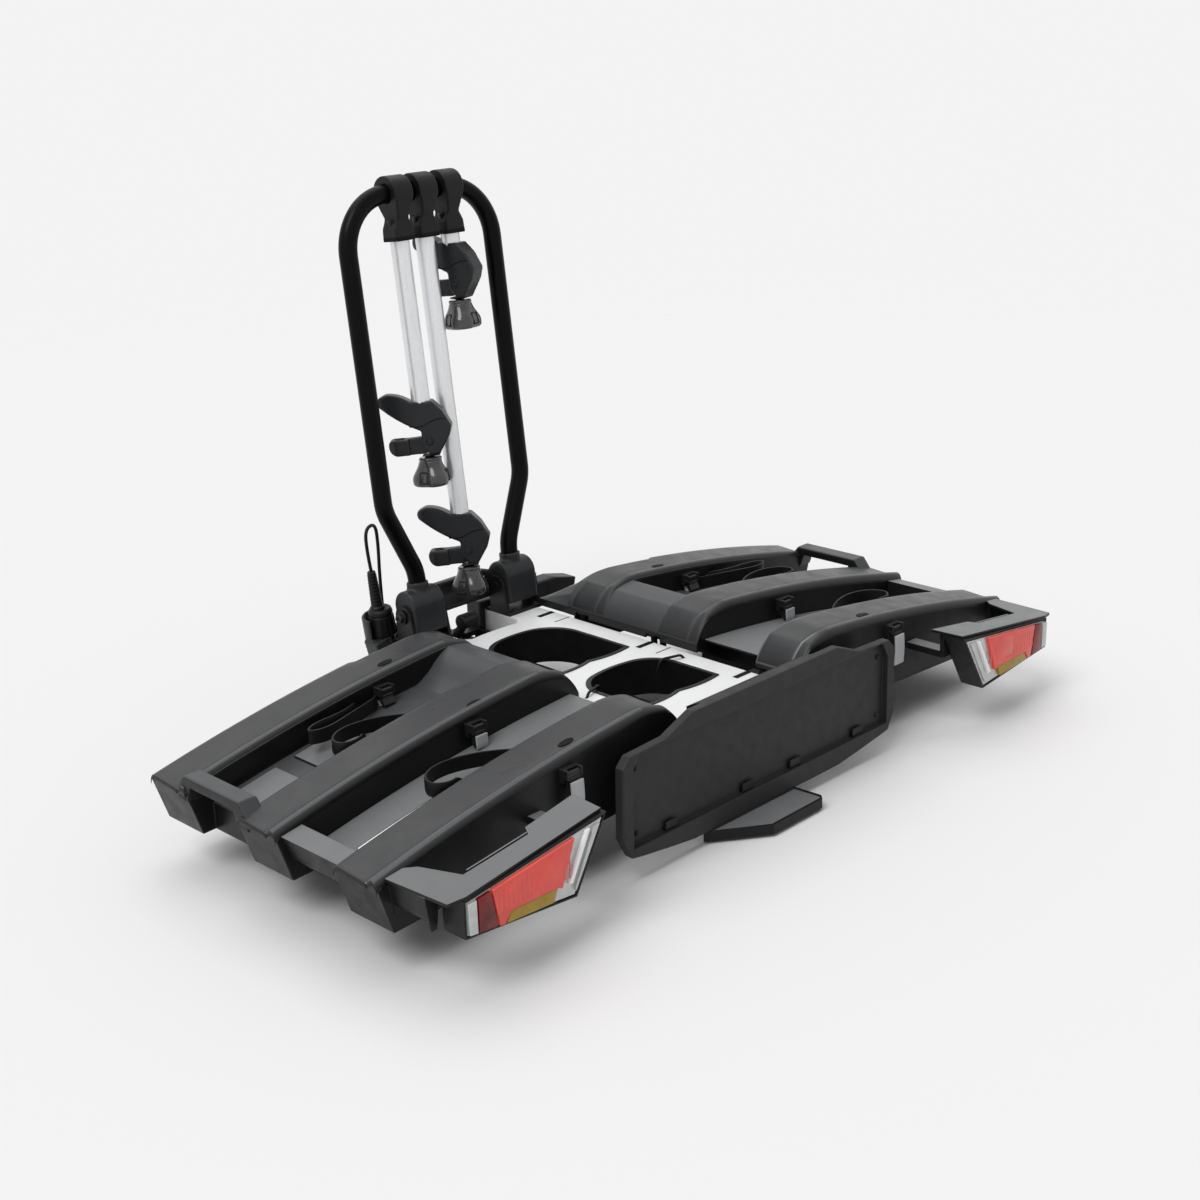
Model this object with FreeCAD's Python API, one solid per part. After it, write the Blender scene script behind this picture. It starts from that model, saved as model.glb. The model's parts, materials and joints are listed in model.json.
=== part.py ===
import FreeCAD, Part
import math
import os

# Three-bike tow ball carrier. X is across the car, +Y points to the car, Z is up, floor at z = 0.
# Pieces of the right side are modelled and mirrored in the plane x = 0 for the left side.

os.makedirs("parts", exist_ok=True)

# Running clearances
gap = 0.5
pin_gap = 0.05
seat = 0.2

# Chassis frame
frame_half = 120.5
frame_top = 136.0
frame_deep = 44.0
frame_skin = 4.0
frame_wall = 3.0
frame_rear = -232.0
frame_front = 305.0
opening_half = 78.0
opening_near_1 = 10.0
opening_far_1 = 179.0
opening_near_2 = -165.0
opening_far_2 = -28.0
notch_half = 58.0
notch_start = 218.0
lip_wide = 3.0
lip_high = 1.5
slot_y = (213.0, 1.0, -187.0)
slot_long = 33.0
slot_wide = 10.0
slot_deep = 3.0
slot_to_line = 37.0
line_wide = 2.6
line_deep = 1.5
liner_deep = 52.0
liner_wall = 2.5

# Wing fold hinge
fold_gap = 9.5
fold_x = frame_half + fold_gap
fold_z = 146.0
fold_pin_r = 3.0
knuckle_r = 5.6
lug_wide = 8.0
arm_wide = 9.0
lug_gap = 0.5
hinge_y = (150.0, 1.5, -208.0)

# Flared shoulder at the wing's inner far corner
flare_gap = 1.5
flare_out = 300.0
flare_wall = 2.5

# Steel beam inside the wing
beam_in = 172.0
beam_out = 202.0
beam_low = 116.0
beam_high = 22.0
beam_wall = 2.5

# Wing rails
rail_wide = 79.0
rail_pitch = 190.0
rail_far_1 = 183.0
wall = 3.0
inner_top = 151.0
shoulder_x = 200.0
shoulder_z = 193.0
mid_x = 414.5
mid_z = 167.1
tip_x = 629.0
tip_z = 124.0
end_r = 9.0
rail_under_out = 60.0
rail_under_in = 78.0
end_slope = 20.0
channel_deep = 36.0
channel_in = 185.0
channel_lead = 65.0
end_step = 39.0
channel_out = tip_x - end_step
rail_round = 6.0
groove_in = 17.0
groove_wide = 3.0
groove_deep = 2.0
strap_slot_x = 327.0
strap_slot_long = 26.0
strap_slot_wide = 5.0
strap_thick = 2.4
strap_wide = 20.0
buckle_x = (312.0, 315.0, 331.0)
lever_long = (24.5, 30.5, 39.0)

# See-through slit in the tray floor
slit_in = 425.0
slit_out = 552.0
slit_y = -151.0
slit_wide = 11.0

# Carry handle at the end of the first channel
grip_x = 600.0
grip_wide = 27.0
grip_foot = 20.0
grip_rise = 9.0
grip_high = 13.0
grip_top = 146.0

# Cover and lamp
cover_far = -330.0
cover_in = 372.0
cover_step = 13.0
cover_out = tip_x - cover_step
cover_side_open = 48.0
notch_x = 460.0
notch_deep = 14.0
lamp_face = -380.0
lamp_back = -340.0
lamp_top_out = 130.0
lamp_top_in = 157.0
lamp_low_out = 83.0
lamp_low_in = 67.0
lamp_in_top = 369.0
lamp_in_low = 421.0
lamp_step = 24.0
lamp_out = cover_out - lamp_step
lamp_wall = 2.5
lens_thick = 3.0
lamp_overall = -385.0

# Hoop, in its own upright plane measured from the fold pin
hoop_y = 277.0
hoop_z = 194.0
hoop_lean = 6.0
tube_r = 13.5
tube_wall = 2.0
hoop_half = 137.0
hoop_foot_half = 94.0
hoop_high = 599.0
corner_r = 80.0
bend_low = 50.0
bend_high = 150.0
bend_r = 70.0
foot_in = 64.0
foot_out = 124.0
foot_r = 24.0
foot_low = 42.0
foot_sleeve = 26.0
cheek_thick = 5.0
cheek_r = 17.0
hoop_pin_r = 7.0
bracket_lead = 30.0
bracket_thick = 5.0

# Arms that hang from the top bar
arm_x = (-42.0, 5.0, 54.0)
arm_low = (292.0, 112.0, 512.0)
claw_turn = (135.0, 135.0, 108.0)
arm_r = 14.0
arm_bore_r = 12.2
head_wide = 34.0
head_r = 25.0
bend_relief = 2.0
waist_half = 10.0
collar_half = 17.0
collar_top = 560.0
collar_low = 531.0
knob_r = 30.0
knob_off = 3.0
knob_pin_r = 4.0
knob_top = 79.0
knob_low = 122.0
finger_pin_u = -7.0
finger_pin_z = -54.0
finger_pin_r = 4.0
claw_half = 15.0
finger_half = 8.5

# Coupling and lever, which is pressed down to open the jaw
tilt_y = 300.0
tilt_z = 84.0
tilt_pin_r = 6.0
coupling_half = 40.0
coupling_low = 46.0
coupling_end = 385.0
ball_r = 25.0
ball_y = 350.0
ball_z = 62.0
ball_gap = 0.2
ear_in = 44.0
ear_thick = 6.0
lever_y = 318.0
lever_z = 96.0
lever_pin_r = 4.0
lever_half = 8.0
grip_y = 281.0
grip_z = 139.0
grip_r = 12.0
grip_half = 16.0

# Car side cover and wheels
cover_left = 160.0
cover_right = 262.0
car_cover_near = 305.4
car_cover_far = 336.0
car_cover_low = 110.0
car_cover_top = 150.0
window_half = 48.0
wheel_r = 30.0
wheel_x = 128.0
wheel_half = 12.0
wheel_y = 318.0
axle_r = 5.0
fork_thick = 4.0
carrier_low = 99.0
carrier_high = 107.0

# Spine, plate holder, pedal
spine_half = 28.0
spine_low = 54.0
spine_high = 90.0
spine_wall = 3.0
plate_y = -313.0
plate_thick = 4.0
rim_out = 9.0
plate_half = 283.0
plate_inner_half = 264.0
plate_inner_low = 47.0
plate_inner_high = 172.0
hump_z = 196.0
hump_half = 150.0
flange_half = 77.0
pedal_pin_y = -196.0
pedal_pin_z = 66.0
pedal_pin_r = 5.0
pedal_half = 27.0
rim_wall = 3.8
foot_x = 92.0
foot_y = -205.0
foot_half = 13.0
pad_high = 9.0

# Plug parked on the car side cover
plug_x = -126.5
plug_y = 326.0
plug_lean = 6.5
plug_r = 20.0
plug_base = 132.0
plug_high = 54.0
cup_gap = 6.0
cup_wall = 3.5
cup_high = 44.0
relief_r = 9.0
relief_high = 61.0
relief_off = -4.0
cable_r = 2.6

# Lamp leads
lead_r = 2.0
lead_hole_x = 101.0
lead_hole_y = -80.0
lead_hole_r = 2.6
cable_loop_z = 313.0


def vec(x, y, z):
    return FreeCAD.Vector(x, y, z)


def box(x0, x1, y0, y1, z0, z1):
    return Part.makeBox(x1 - x0, y1 - y0, z1 - z0, vec(x0, y0, z0))


def rod(radius, start, end):
    run = vec(*end) - vec(*start)
    return Part.makeCylinder(radius, run.Length, vec(*start), run)


def place(point, plane, level):
    a, b = point
    if plane == "xz":
        return vec(a, level, b)
    if plane == "xy":
        return vec(a, b, level)
    return vec(level, a, b)


def outline(points, plane, level):
    # a point of two numbers ends a straight run, one of four is an arc through the first two
    start = points[0]
    edges = []
    here = start
    for item in list(points[1:]) + [start]:
        end = item[-2:]
        a = place(here, plane, level)
        b = place(end, plane, level)
        if len(item) == 4:
            edges.append(Part.Arc(a, place(item[:2], plane, level), b).toShape())
        elif (a - b).Length > 1e-6:
            edges.append(Part.makeLine(a, b))
        here = end
    return Part.Wire(edges)


def slab(points, plane, low, high):
    face = Part.Face(outline(points, plane, low))
    way = {"xz": vec(0, 1, 0), "xy": vec(0, 0, 1), "yz": vec(1, 0, 0)}[plane]
    return face.extrude(way * (high - low))


def fuse(shapes):
    whole = shapes[0].fuse(shapes[1:]) if len(shapes) > 1 else shapes[0]
    return whole.removeSplitter()


def group(shapes):
    return Part.Compound(shapes)


def mirrored(shape):
    return shape.mirror(vec(0, 0, 0), vec(1, 0, 0))


def both(shape):
    return group([shape, mirrored(shape)])


def soften(shape, radius, wanted):
    edges = [edge for edge in shape.Edges if wanted(edge)]
    return shape.makeFillet(radius, edges)


def middle(edge):
    return edge.valueAt((edge.FirstParameter + edge.LastParameter) / 2)


def is_upright(edge):
    a, b = edge.Vertexes[0].Point, edge.Vertexes[-1].Point
    return abs(a.z - b.z) > 1 and abs(a.x - b.x) < 0.01 and abs(a.y - b.y) < 0.01


def lean(shape):
    # from the hoop's own upright plane to its place on the pivot
    turned = shape.copy()
    turned.rotate(vec(0, 0, 0), vec(1, 0, 0), -hoop_lean)
    turned.translate(vec(0, hoop_y, hoop_z))
    return turned


def rounded_path(points, radii):
    # straight runs joined by tangent arcs, with the radius that each inner point is given
    spots = [vec(*p) for p in points]
    edges = []
    here = spots[0]
    for k in range(1, len(spots) - 1):
        before = (spots[k - 1] - spots[k]).normalize()
        after = (spots[k + 1] - spots[k]).normalize()
        half = before.getAngle(after) / 2
        reach = radii[k - 1] / math.tan(half)
        start = spots[k] + before * reach
        end = spots[k] + after * reach
        inward = (before + after).normalize()
        centre = spots[k] + inward * (radii[k - 1] / math.sin(half))
        if (start - here).Length > 1e-4:
            edges.append(Part.makeLine(here, start))
        edges.append(Part.Arc(start, centre - inward * radii[k - 1], end).toShape())
        here = end
    if (spots[-1] - here).Length > 1e-4:
        edges.append(Part.makeLine(here, spots[-1]))
    return Part.Wire(edges)


def sweep(path, section):
    return path.makePipeShell([section], True, True)


def ring_at(path, radius):
    edge = path.OrderedEdges[0]
    spot = edge.valueAt(edge.FirstParameter)
    return Part.Wire([Part.makeCircle(radius, spot, edge.tangentAt(edge.FirstParameter))])


# The silver frame: a pressed tray with two rounded openings, its front open in the middle
def opening(near, far, grow):
    half = opening_half + grow
    low = near - grow
    high = far + grow
    side = low + (high - low) * 0.66
    shoulder = half - 21
    points = [(-half, low + 4), (-half / 2, low, 0, low + 6), (half / 2, low, half, low + 4)]
    points += [(half, side), (shoulder, side + (high - side) * 0.72, half * 0.4, high - 3)]
    points += [(0, high, -half * 0.4, high - 3)]
    points += [(-shoulder, side + (high - side) * 0.72, -half, side)]
    return points


def frame_outline(cut):
    half = frame_half - cut
    rear = frame_rear + cut
    front = frame_front - cut
    slot = notch_half + cut
    start = notch_start - cut
    return [(-half + 12, rear), (half - 12, rear), (half, rear + 12), (half, front),
            (slot, front), (slot, start + 12), (slot - 12, start),
            (0, start + 3 - cut / 2, -slot + 12, start), (-slot, start + 12), (-slot, front),
            (-half, front), (-half, rear + 12)]


openings = ((opening_near_1, opening_far_1), (opening_near_2, opening_far_2))


def chassis_frame():
    low = frame_top - frame_deep
    body = slab(frame_outline(0), "xy", low, frame_top)
    hollow = slab(frame_outline(frame_wall), "xy", low - 1, frame_top - frame_skin)
    for near, far in openings:
        hollow = hollow.cut(slab(opening(near, far, frame_wall), "xy", low - 1, frame_top))
    body = body.cut(hollow)
    for near, far in openings:
        body = body.cut(slab(opening(near, far, 0), "xy", low - 1, frame_top + 1))
    body = soften(body, 3.0, lambda e: abs(middle(e).z - frame_top) < 0.01
                  and abs(abs(middle(e).x) - frame_half) < 0.01)
    marks = []
    half, thin = slot_wide / 2, line_wide / 2
    for y in slot_y:
        for side in (-1, 1):
            edge = side * (frame_half - slot_long)
            low, high = min(edge, side * frame_half), max(edge, side * frame_half)
            marks.append(box(low, high, y - half, y + half, frame_top - slot_deep, frame_top + 1))
            near = y - slot_to_line
            marks.append(box(low, high, near - thin, near + thin, frame_top - line_deep, frame_top + 1))
    for side in (-1, 1):
        x = side * lead_hole_x
        marks.append(rod(lead_hole_r, (x, lead_hole_y, frame_top - frame_skin - 1),
                         (x, lead_hole_y, frame_top + 1)))
    return body.cut(group(marks))


def fold_lug():
    # a knuckle on the beam's outer wall, its stem outboard of the pin so that the wing's end clears
    half = lug_wide / 2
    root = frame_half + seat
    stem = slab([(root, fold_z - 44), (fold_x + 7, fold_z - 34), (fold_x + 7, fold_z - 12),
                 (fold_x + knuckle_r, fold_z), (fold_x + 1, fold_z), (fold_x + 1, frame_top - 6),
                 (root, frame_top - 10)], "xz", -half, half)
    eye = rod(knuckle_r, (fold_x, -half, fold_z), (fold_x, half, fold_z))
    return fuse([stem, eye])


def chassis_liner():
    # black wells that line the openings, with a thin lip proud of the silver skin
    shapes = []
    for near, far in openings:
        outer = slab(opening(near, far, -0.3), "xy", frame_top - liner_deep, frame_top + lip_high)
        inner = slab(opening(near, far, -0.3 - liner_wall), "xy", 0, frame_top + 10)
        lip = slab(opening(near, far, lip_wide), "xy", frame_top + 0.02, frame_top + lip_high)
        well = fuse([outer, lip]).cut(inner)
        # the walls straddle the spine beam
        straddle = spine_half + seat
        shapes.append(well.cut(box(-straddle, straddle, near - 10, far + 10, 0, spine_high + seat)))
    return group(shapes)


def spine_beam():
    # box tube under the frame that carries plate, pedal and feet, hung on cross plates
    rear = frame_rear + 14
    front = tilt_y - 26
    tube = box(-spine_half, spine_half, rear, front, spine_low, spine_high)
    core = box(-spine_half + spine_wall, spine_half - spine_wall, rear - 1, front + 1,
               spine_low + spine_wall, spine_high - spine_wall)
    tube = tube.cut(core)
    under = frame_top - frame_deep
    ties = []
    for y in (frame_rear + 22, (opening_near_1 + opening_far_2) / 2, notch_start - 16):
        ties.append(box(-frame_half, frame_half, y - 14, y + 14, under - 3, under))
        ties.append(box(-spine_half, spine_half, y - 14, y + 14, spine_high - 1, under))
    ears = []
    for side in (-1, 1):
        low = min(side * (pedal_half + 1), side * (pedal_half + 7))
        ears.append(box(low, low + 6, pedal_pin_y - 16, pedal_pin_y + 14, pedal_pin_z - 14, under - 1))
    body = fuse([tube] + ties + ears)
    body = body.cut(box(-pedal_half - 1, pedal_half + 1, rear - 1, pedal_pin_y + 20, 0, under - 3))
    holes = rod(pedal_pin_r, (-60, pedal_pin_y, pedal_pin_z), (60, pedal_pin_y, pedal_pin_z))
    return body.cut(holes)


def rear_feet():
    # steel legs under the rear corners of the frame
    leg = box(foot_x - foot_half, foot_x + foot_half, foot_y - 12, foot_y + 12,
              pad_high, frame_top - frame_deep - 3)
    core = box(foot_x - foot_half + 3, foot_x + foot_half - 3, foot_y - 9, foot_y + 9,
               pad_high + 4, frame_top)
    return both(leg.cut(core))


def foot_pads():
    pad = Part.makeCone(foot_half + 2, foot_half - 1, pad_high, vec(foot_x, foot_y, 0))
    return both(pad)


# The wing: one broad shell for the first two rails, a tray with the third rail and the lamp cover
def top_at(x):
    # height of the arc along the rails' tops
    chord = shoulder_z + (tip_z - shoulder_z) * (x - shoulder_x) / (tip_x - shoulder_x)
    rise = mid_z - (shoulder_z + tip_z) / 2
    return chord + rise * (1 - ((x - mid_x) / (mid_x - shoulder_x)) ** 2)


def rail_side(cut):
    inner = fold_x - end_r + cut
    under = cut * 40
    # the end wall leans in by end_slope over its height, and the hollow runs parallel to it
    lean_in = end_slope * (tip_z - rail_under_out + under) / (tip_z - rail_under_out)
    return [(inner, fold_z - 7 - under), (inner, inner_top - cut),
            (inner + 12, inner_top + 20 - cut, inner + 30, shoulder_z - 6 - cut),
            (shoulder_x - 24, shoulder_z - 1.2 - cut, shoulder_x, shoulder_z - cut),
            (mid_x, mid_z - cut, tip_x - cut, tip_z - cut),
            (tip_x - lean_in - cut, rail_under_out - under), (205, rail_under_in - under),
            (fold_x + 6 + cut, fold_z - 42 - under), (fold_x + 6 + cut, fold_z - 7 - under)]


def deck_line(drop, start, end):
    # an arc parallel to the rails' tops, from one x to another
    half = (start + end) / 2
    return (start, top_at(start) - drop), (half, top_at(half) - drop, end, top_at(end) - drop)


def channel_side(grow):
    # the floor comes down from the deck in an S and ends at the outer wall
    start = channel_in - grow
    lead = start + channel_lead
    turn = start + channel_lead / 2
    half = channel_deep / 2 + grow
    first, arc = deck_line(channel_deep + grow, lead, channel_out - grow)
    out = tip_x + 20
    ramp = (turn - 12, top_at(turn) - half + 10, turn, top_at(turn) - half)
    foot = (turn + 12, top_at(turn) - half - 10) + first
    return [(start, top_at(start) + 30), (start, top_at(start) - grow), ramp, foot, arc,
            (channel_out - grow, 0), (out, 0), (out, 260), (start, 260)]


def rail_far(index):
    return rail_far_1 - rail_pitch * index


def hinge_windows():
    # room for the knuckles in the shell's inner end
    half = arm_wide / 2 + lug_gap + lug_wide + 1
    cuts = []
    for y in hinge_y:
        cuts.append(box(fold_x - end_r - 1, fold_x + 12, y - half, y + half, 60, fold_z))
        cuts.append(rod(knuckle_r + gap, (fold_x, y - half, fold_z), (fold_x, y + half, fold_z)))
    return cuts


def rail_grooves(index):
    near = rail_far(index) - rail_wide + groove_in
    first, arc = deck_line(groove_deep, shoulder_x + 20, tip_x - 2)
    cut = slab([first, arc, (tip_x - 2, 260), (shoulder_x + 20, 260)], "xz", near, near + groove_wide)
    long = strap_slot_long / 2
    slot_y = rail_far(index) - 8 - strap_slot_wide
    slot = box(strap_slot_x - long, strap_slot_x + long, slot_y, slot_y + strap_slot_wide,
               top_at(strap_slot_x) - 9, 260)
    return [cut, slot]


def flare_wires(cut, under):
    # the crest's line and the low line at the far corner, point for point
    inner = fold_x - end_r + seat + cut
    low = fold_z - 7 + seat - under
    near = [(inner, low), (inner, inner_top - cut), (inner + 12, inner_top + 20 - cut),
            (inner + 30, shoulder_z - 6 - cut), (shoulder_x, shoulder_z - cut),
            (250, top_at(250) - cut), (flare_out - cut, top_at(flare_out) - cut), (flare_out - cut, low)]
    far = [(inner, low), (inner, inner_top - cut), (inner + 6, inner_top - 0.2 - cut),
           (inner + 12, inner_top - 0.8 - cut), (inner + 19, inner_top - 2 - cut),
           (inner + 26, inner_top - 4 - cut), (inner + 32 - cut, inner_top - 6.5 - cut), (inner + 32 - cut, low)]
    wires = []
    for points, y in ((near, rail_far(0) - rail_round - 4), (far, hoop_y - bracket_lead - flare_gap - cut)):
        spots = [vec(x, y, z) for x, z in points]
        wires.append(Part.makePolygon(spots + spots[:1]))
    return wires


def flare():
    body = Part.makeLoft(flare_wires(0, 0), True, True)
    return body.cut(Part.makeLoft(flare_wires(flare_wall, 40), True, True))


def platform_shell():
    far = rail_far(0)
    near = rail_far(1) - rail_wide
    body = slab(rail_side(0), "xz", near, far)
    body = soften(body, rail_round, lambda e: e.Length > 300 and middle(e).z > 150)
    gutter_far = far - rail_wide
    gutter_near = rail_far(1)
    body = body.cut(slab(channel_side(0), "xz", gutter_near, gutter_far))
    hollow = slab(rail_side(wall), "xz", near + wall, far - wall)
    hollow = hollow.cut(slab(channel_side(wall), "xz", gutter_near - wall, gutter_far + wall))
    body = body.cut(hollow)
    body = body.cut(group(hinge_windows() + [beam_space()] + rail_grooves(0)[:1] + rail_grooves(1)))
    # the carry handle closes the open end of the channel
    middle_y = (gutter_far + gutter_near) / 2
    bar_top = top_at(grip_x + grip_wide)
    bar_low = bar_top - grip_high
    start = gutter_near - grip_foot
    stop = gutter_far + grip_foot
    bar = slab([(start, bar_top), (start, bar_low), (gutter_near + 1, bar_low),
                (gutter_near + grip_rise, grip_top - grip_high), (gutter_far - grip_rise, grip_top - grip_high),
                (gutter_far - 1, bar_low), (stop, bar_low), (stop, bar_top),
                (gutter_far + 3, grip_top), (gutter_near - 3, grip_top)],
               "yz", grip_x, grip_x + grip_wide)
    bar = soften(bar, 3.0, lambda e: middle(e).z > grip_top - 1 and abs(middle(e).y - middle_y) < 5)
    body = fuse([body, bar, flare()])
    # raised pads on the channel floor
    pads = []
    for start, end in ((500, 575), (392, 470)):
        low, arc = deck_line(channel_deep, start, end)
        high, back = deck_line(channel_deep - 3, end, start)
        ring = [low, arc, high, back]
        pads.append(slab(ring, "xz", gutter_near + 12, gutter_far - 12))
    return fuse([body] + pads)


def rear_tray():
    far = rail_far(2)
    near = far - rail_wide
    rail = slab(rail_side(0), "xz", near, far)
    rail = soften(rail, rail_round, lambda e: e.Length > 300 and middle(e).z > 150)
    rail = rail.cut(slab(rail_side(wall), "xz", near + wall, far - wall))
    rail = rail.cut(group(hinge_windows() + [beam_space()] + rail_grooves(2)))
    # tray floor beside the second rail, with a flat end wall
    edge = rail_far(1) - rail_wide - gap
    start = fold_x + 8
    first, arc = deck_line(channel_deep + 6, start, channel_out)
    back, under = deck_line(channel_deep + 9, channel_out, start)
    floor = slab([first, arc, back, under], "xz", far - 1, edge)
    slit_low, slit_arc = deck_line(60, slit_in, slit_out)
    floor = floor.cut(slab([slit_low, slit_arc, (slit_out, 200), (slit_in, 200)], "xz",
                           slit_y, slit_y + slit_wide))
    end = slab([(channel_out, top_at(channel_out) - channel_deep - 9), (channel_out, tip_z + 4),
                (tip_x - 8, tip_z - 1), (tip_x - 26, 78), (channel_out - 6, 72)], "xz", far - 1, edge)
    core = slab([(channel_out + wall, 60), (channel_out + wall, tip_z), (tip_x - 13, tip_z - 4.5),
                 (tip_x - 30, 60)], "xz", far + 2, edge - wall)
    end = end.cut(core)
    # lamp cover, with the stepped inner edge, joined to the rail by its outer end
    cover = slab([(cover_in, lamp_back - 34), (cover_in - 4, cover_far + 6), (notch_x - 8, cover_far),
                  (notch_x, cover_far - notch_deep), (lamp_out - 32, cover_far - notch_deep),
                  (lamp_out - 14, near - 12), (lamp_out - 2, near + 1), (cover_out, near + 1),
                  (cover_out - 6, lamp_face + 6), (lamp_out - 4, lamp_face)], "xy", 60, 260)
    rise = (lamp_top_in - lamp_top_out) / (lamp_out - lamp_in_top)
    level = lamp_top_out + 0.3
    sheet = slab([(300, level + rise * (lamp_out - 300)), (660, level + rise * (lamp_out - 660)),
                  (660, level + 4 + rise * (lamp_out - 660)), (300, level + 4 + rise * (lamp_out - 300))],
                 "xz", -420, -200)
    cover = cover.common(sheet)
    skirt = slab([(cover_in, lamp_top_in + 3), (notch_x + 90, lamp_top_out + 8),
                  (notch_x + 90, 96), (lamp_in_low - 10, 96)], "xz", lamp_back + 0.4, lamp_back + 3)
    side = slab([(channel_out + 2, lamp_top_out + 3), (cover_out - 3, lamp_top_out - 2),
                 (cover_out - 10, 84), (channel_out + 8, 84)], "xz", lamp_back + 0.4, near + 1)
    open_to = cover_out - 8
    side = side.cut(box(open_to - cover_side_open, open_to, lamp_back + 3, near - 2, 60, lamp_top_out - 4))
    # a strut under the cover's inner end, back to the rail
    strut = box(cover_in + 4, cover_in + 26, lamp_back + 0.4, near + 2, 118, 128)
    post = box(cover_in + 4, cover_in + 26, lamp_back + 0.4, lamp_back + 6, 118, lamp_top_in)
    return fuse([rail, floor, end, cover, skirt, side, strut, post])


def beam_space():
    # windows in the rails' side walls that the steel beam passes through
    return box(beam_in - seat, beam_out + seat, rail_far(2) - rail_wide + wall, rail_far(0) - wall,
               beam_low - seat, beam_low + beam_high + seat)


def wing_frame():
    # steel beam through the rails, with three hinge arms on the fold pin
    low = beam_low
    beam = box(beam_in, beam_out, rail_far(2) - rail_wide + wall + 1, rail_far(0) - wall - 1,
               low, low + beam_high)
    core = box(beam_in + beam_wall, beam_out - beam_wall, -500, 500, low + beam_wall,
               low + beam_high - beam_wall)
    shapes = [beam.cut(core)]
    for y in hinge_y:
        half = arm_wide / 2
        arm = slab([(fold_x + 2, fold_z - knuckle_r), (beam_in + 1, low + 2), (beam_in + 1, low + beam_high),
                    (beam_out - 8, low + beam_high), (beam_out - 8, low + beam_high + 6),
                    (150, fold_z + 18), (fold_x, fold_z + knuckle_r)], "xz", y - half, y + half)
        eye = rod(knuckle_r, (fold_x, y - half, fold_z), (fold_x, y + half, fold_z))
        hole = rod(fold_pin_r + pin_gap, (fold_x, y - 20, fold_z), (fold_x, y + 20, fold_z))
        shapes.append(fuse([arm, eye]).cut(hole))
    return fuse(shapes)


def fold_pins():
    # each pin with its two lugs, for the right side
    pins = []
    half = arm_wide / 2 + lug_gap + lug_wide
    for y in hinge_y:
        shapes = [rod(fold_pin_r, (fold_x, y - half, fold_z), (fold_x, y + half, fold_z))]
        for shift in (-1, 1):
            lug = fold_lug()
            lug.translate(vec(0, y + shift * (arm_wide + lug_wide + 2 * lug_gap) / 2, 0))
            shapes.append(lug)
        pins.append(fuse(shapes))
    return pins


def lamp_shape(cut, y0, y1):
    return slab([(lamp_out - cut, lamp_low_out + cut), (lamp_out - cut, lamp_top_out - cut),
                 (lamp_in_top + cut * 1.5, lamp_top_in - cut), (lamp_in_low + cut, lamp_low_in + cut)],
                "xz", y0, y1)


def lamp_housing():
    body = lamp_shape(0, lamp_face, lamp_back)
    body = soften(body, 5.0, lambda e: abs(middle(e).y - lamp_back) < 0.1)
    body = body.cut(lamp_shape(lamp_wall, lamp_face - 1, lamp_back - 6))
    # a bolt boss on the back, up to the cover's skirt
    boss = rod(6, (500, lamp_back - 1, 112), (500, lamp_back + 0.35, 112))
    return fuse([body, boss])


def lamp_lens():
    body = lamp_shape(lamp_wall + 0.3, lamp_overall, lamp_back - 9)
    body = soften(body, 3.0, lambda e: abs(middle(e).y - lamp_overall) < 0.1)
    return body


# Ratchet buckles and straps on the wing
def buckle_spot(index):
    near = rail_far(index) - rail_wide
    return buckle_x[index], near, top_at(buckle_x[index]) - 10


def buckle_bases():
    shapes = []
    for index in range(3):
        x, y, z = buckle_spot(index)
        base = box(x - 13, x + 13, y - 7.3, y - 0.3, z - 16, z + 2)
        ears = box(x - 13, x - 10, y - 15, y - 7, z - 10, z + 2)
        ears = ears.fuse(box(x + 10, x + 13, y - 15, y - 7, z - 10, z + 2))
        body = fuse([base, ears])
        body = body.cut(rod(2.05, (x - 20, y - 11, z - 4), (x + 20, y - 11, z - 4)))
        shapes.append(body)
    return group(shapes)


def buckle_lever(index):
    x, y, z = buckle_spot(index)
    pin = rod(2.0, (x - 12.5, y - 11, z - 4), (x + 12.5, y - 11, z - 4))
    low = z - lever_long[index]
    plate = slab([(y - 14, z - 2), (y - 12, z - 0.4, y - 9, z - 1.5), (y - 8.2, z - 6), (y - 9.5, low + 11),
                  (y - 12, low + 3, y - 17, low), (y - 19, low + 3), (y - 14.5, low + 11)],
                 "yz", x - 9.6, x + 9.6)
    return fuse([plate, pin])


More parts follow.
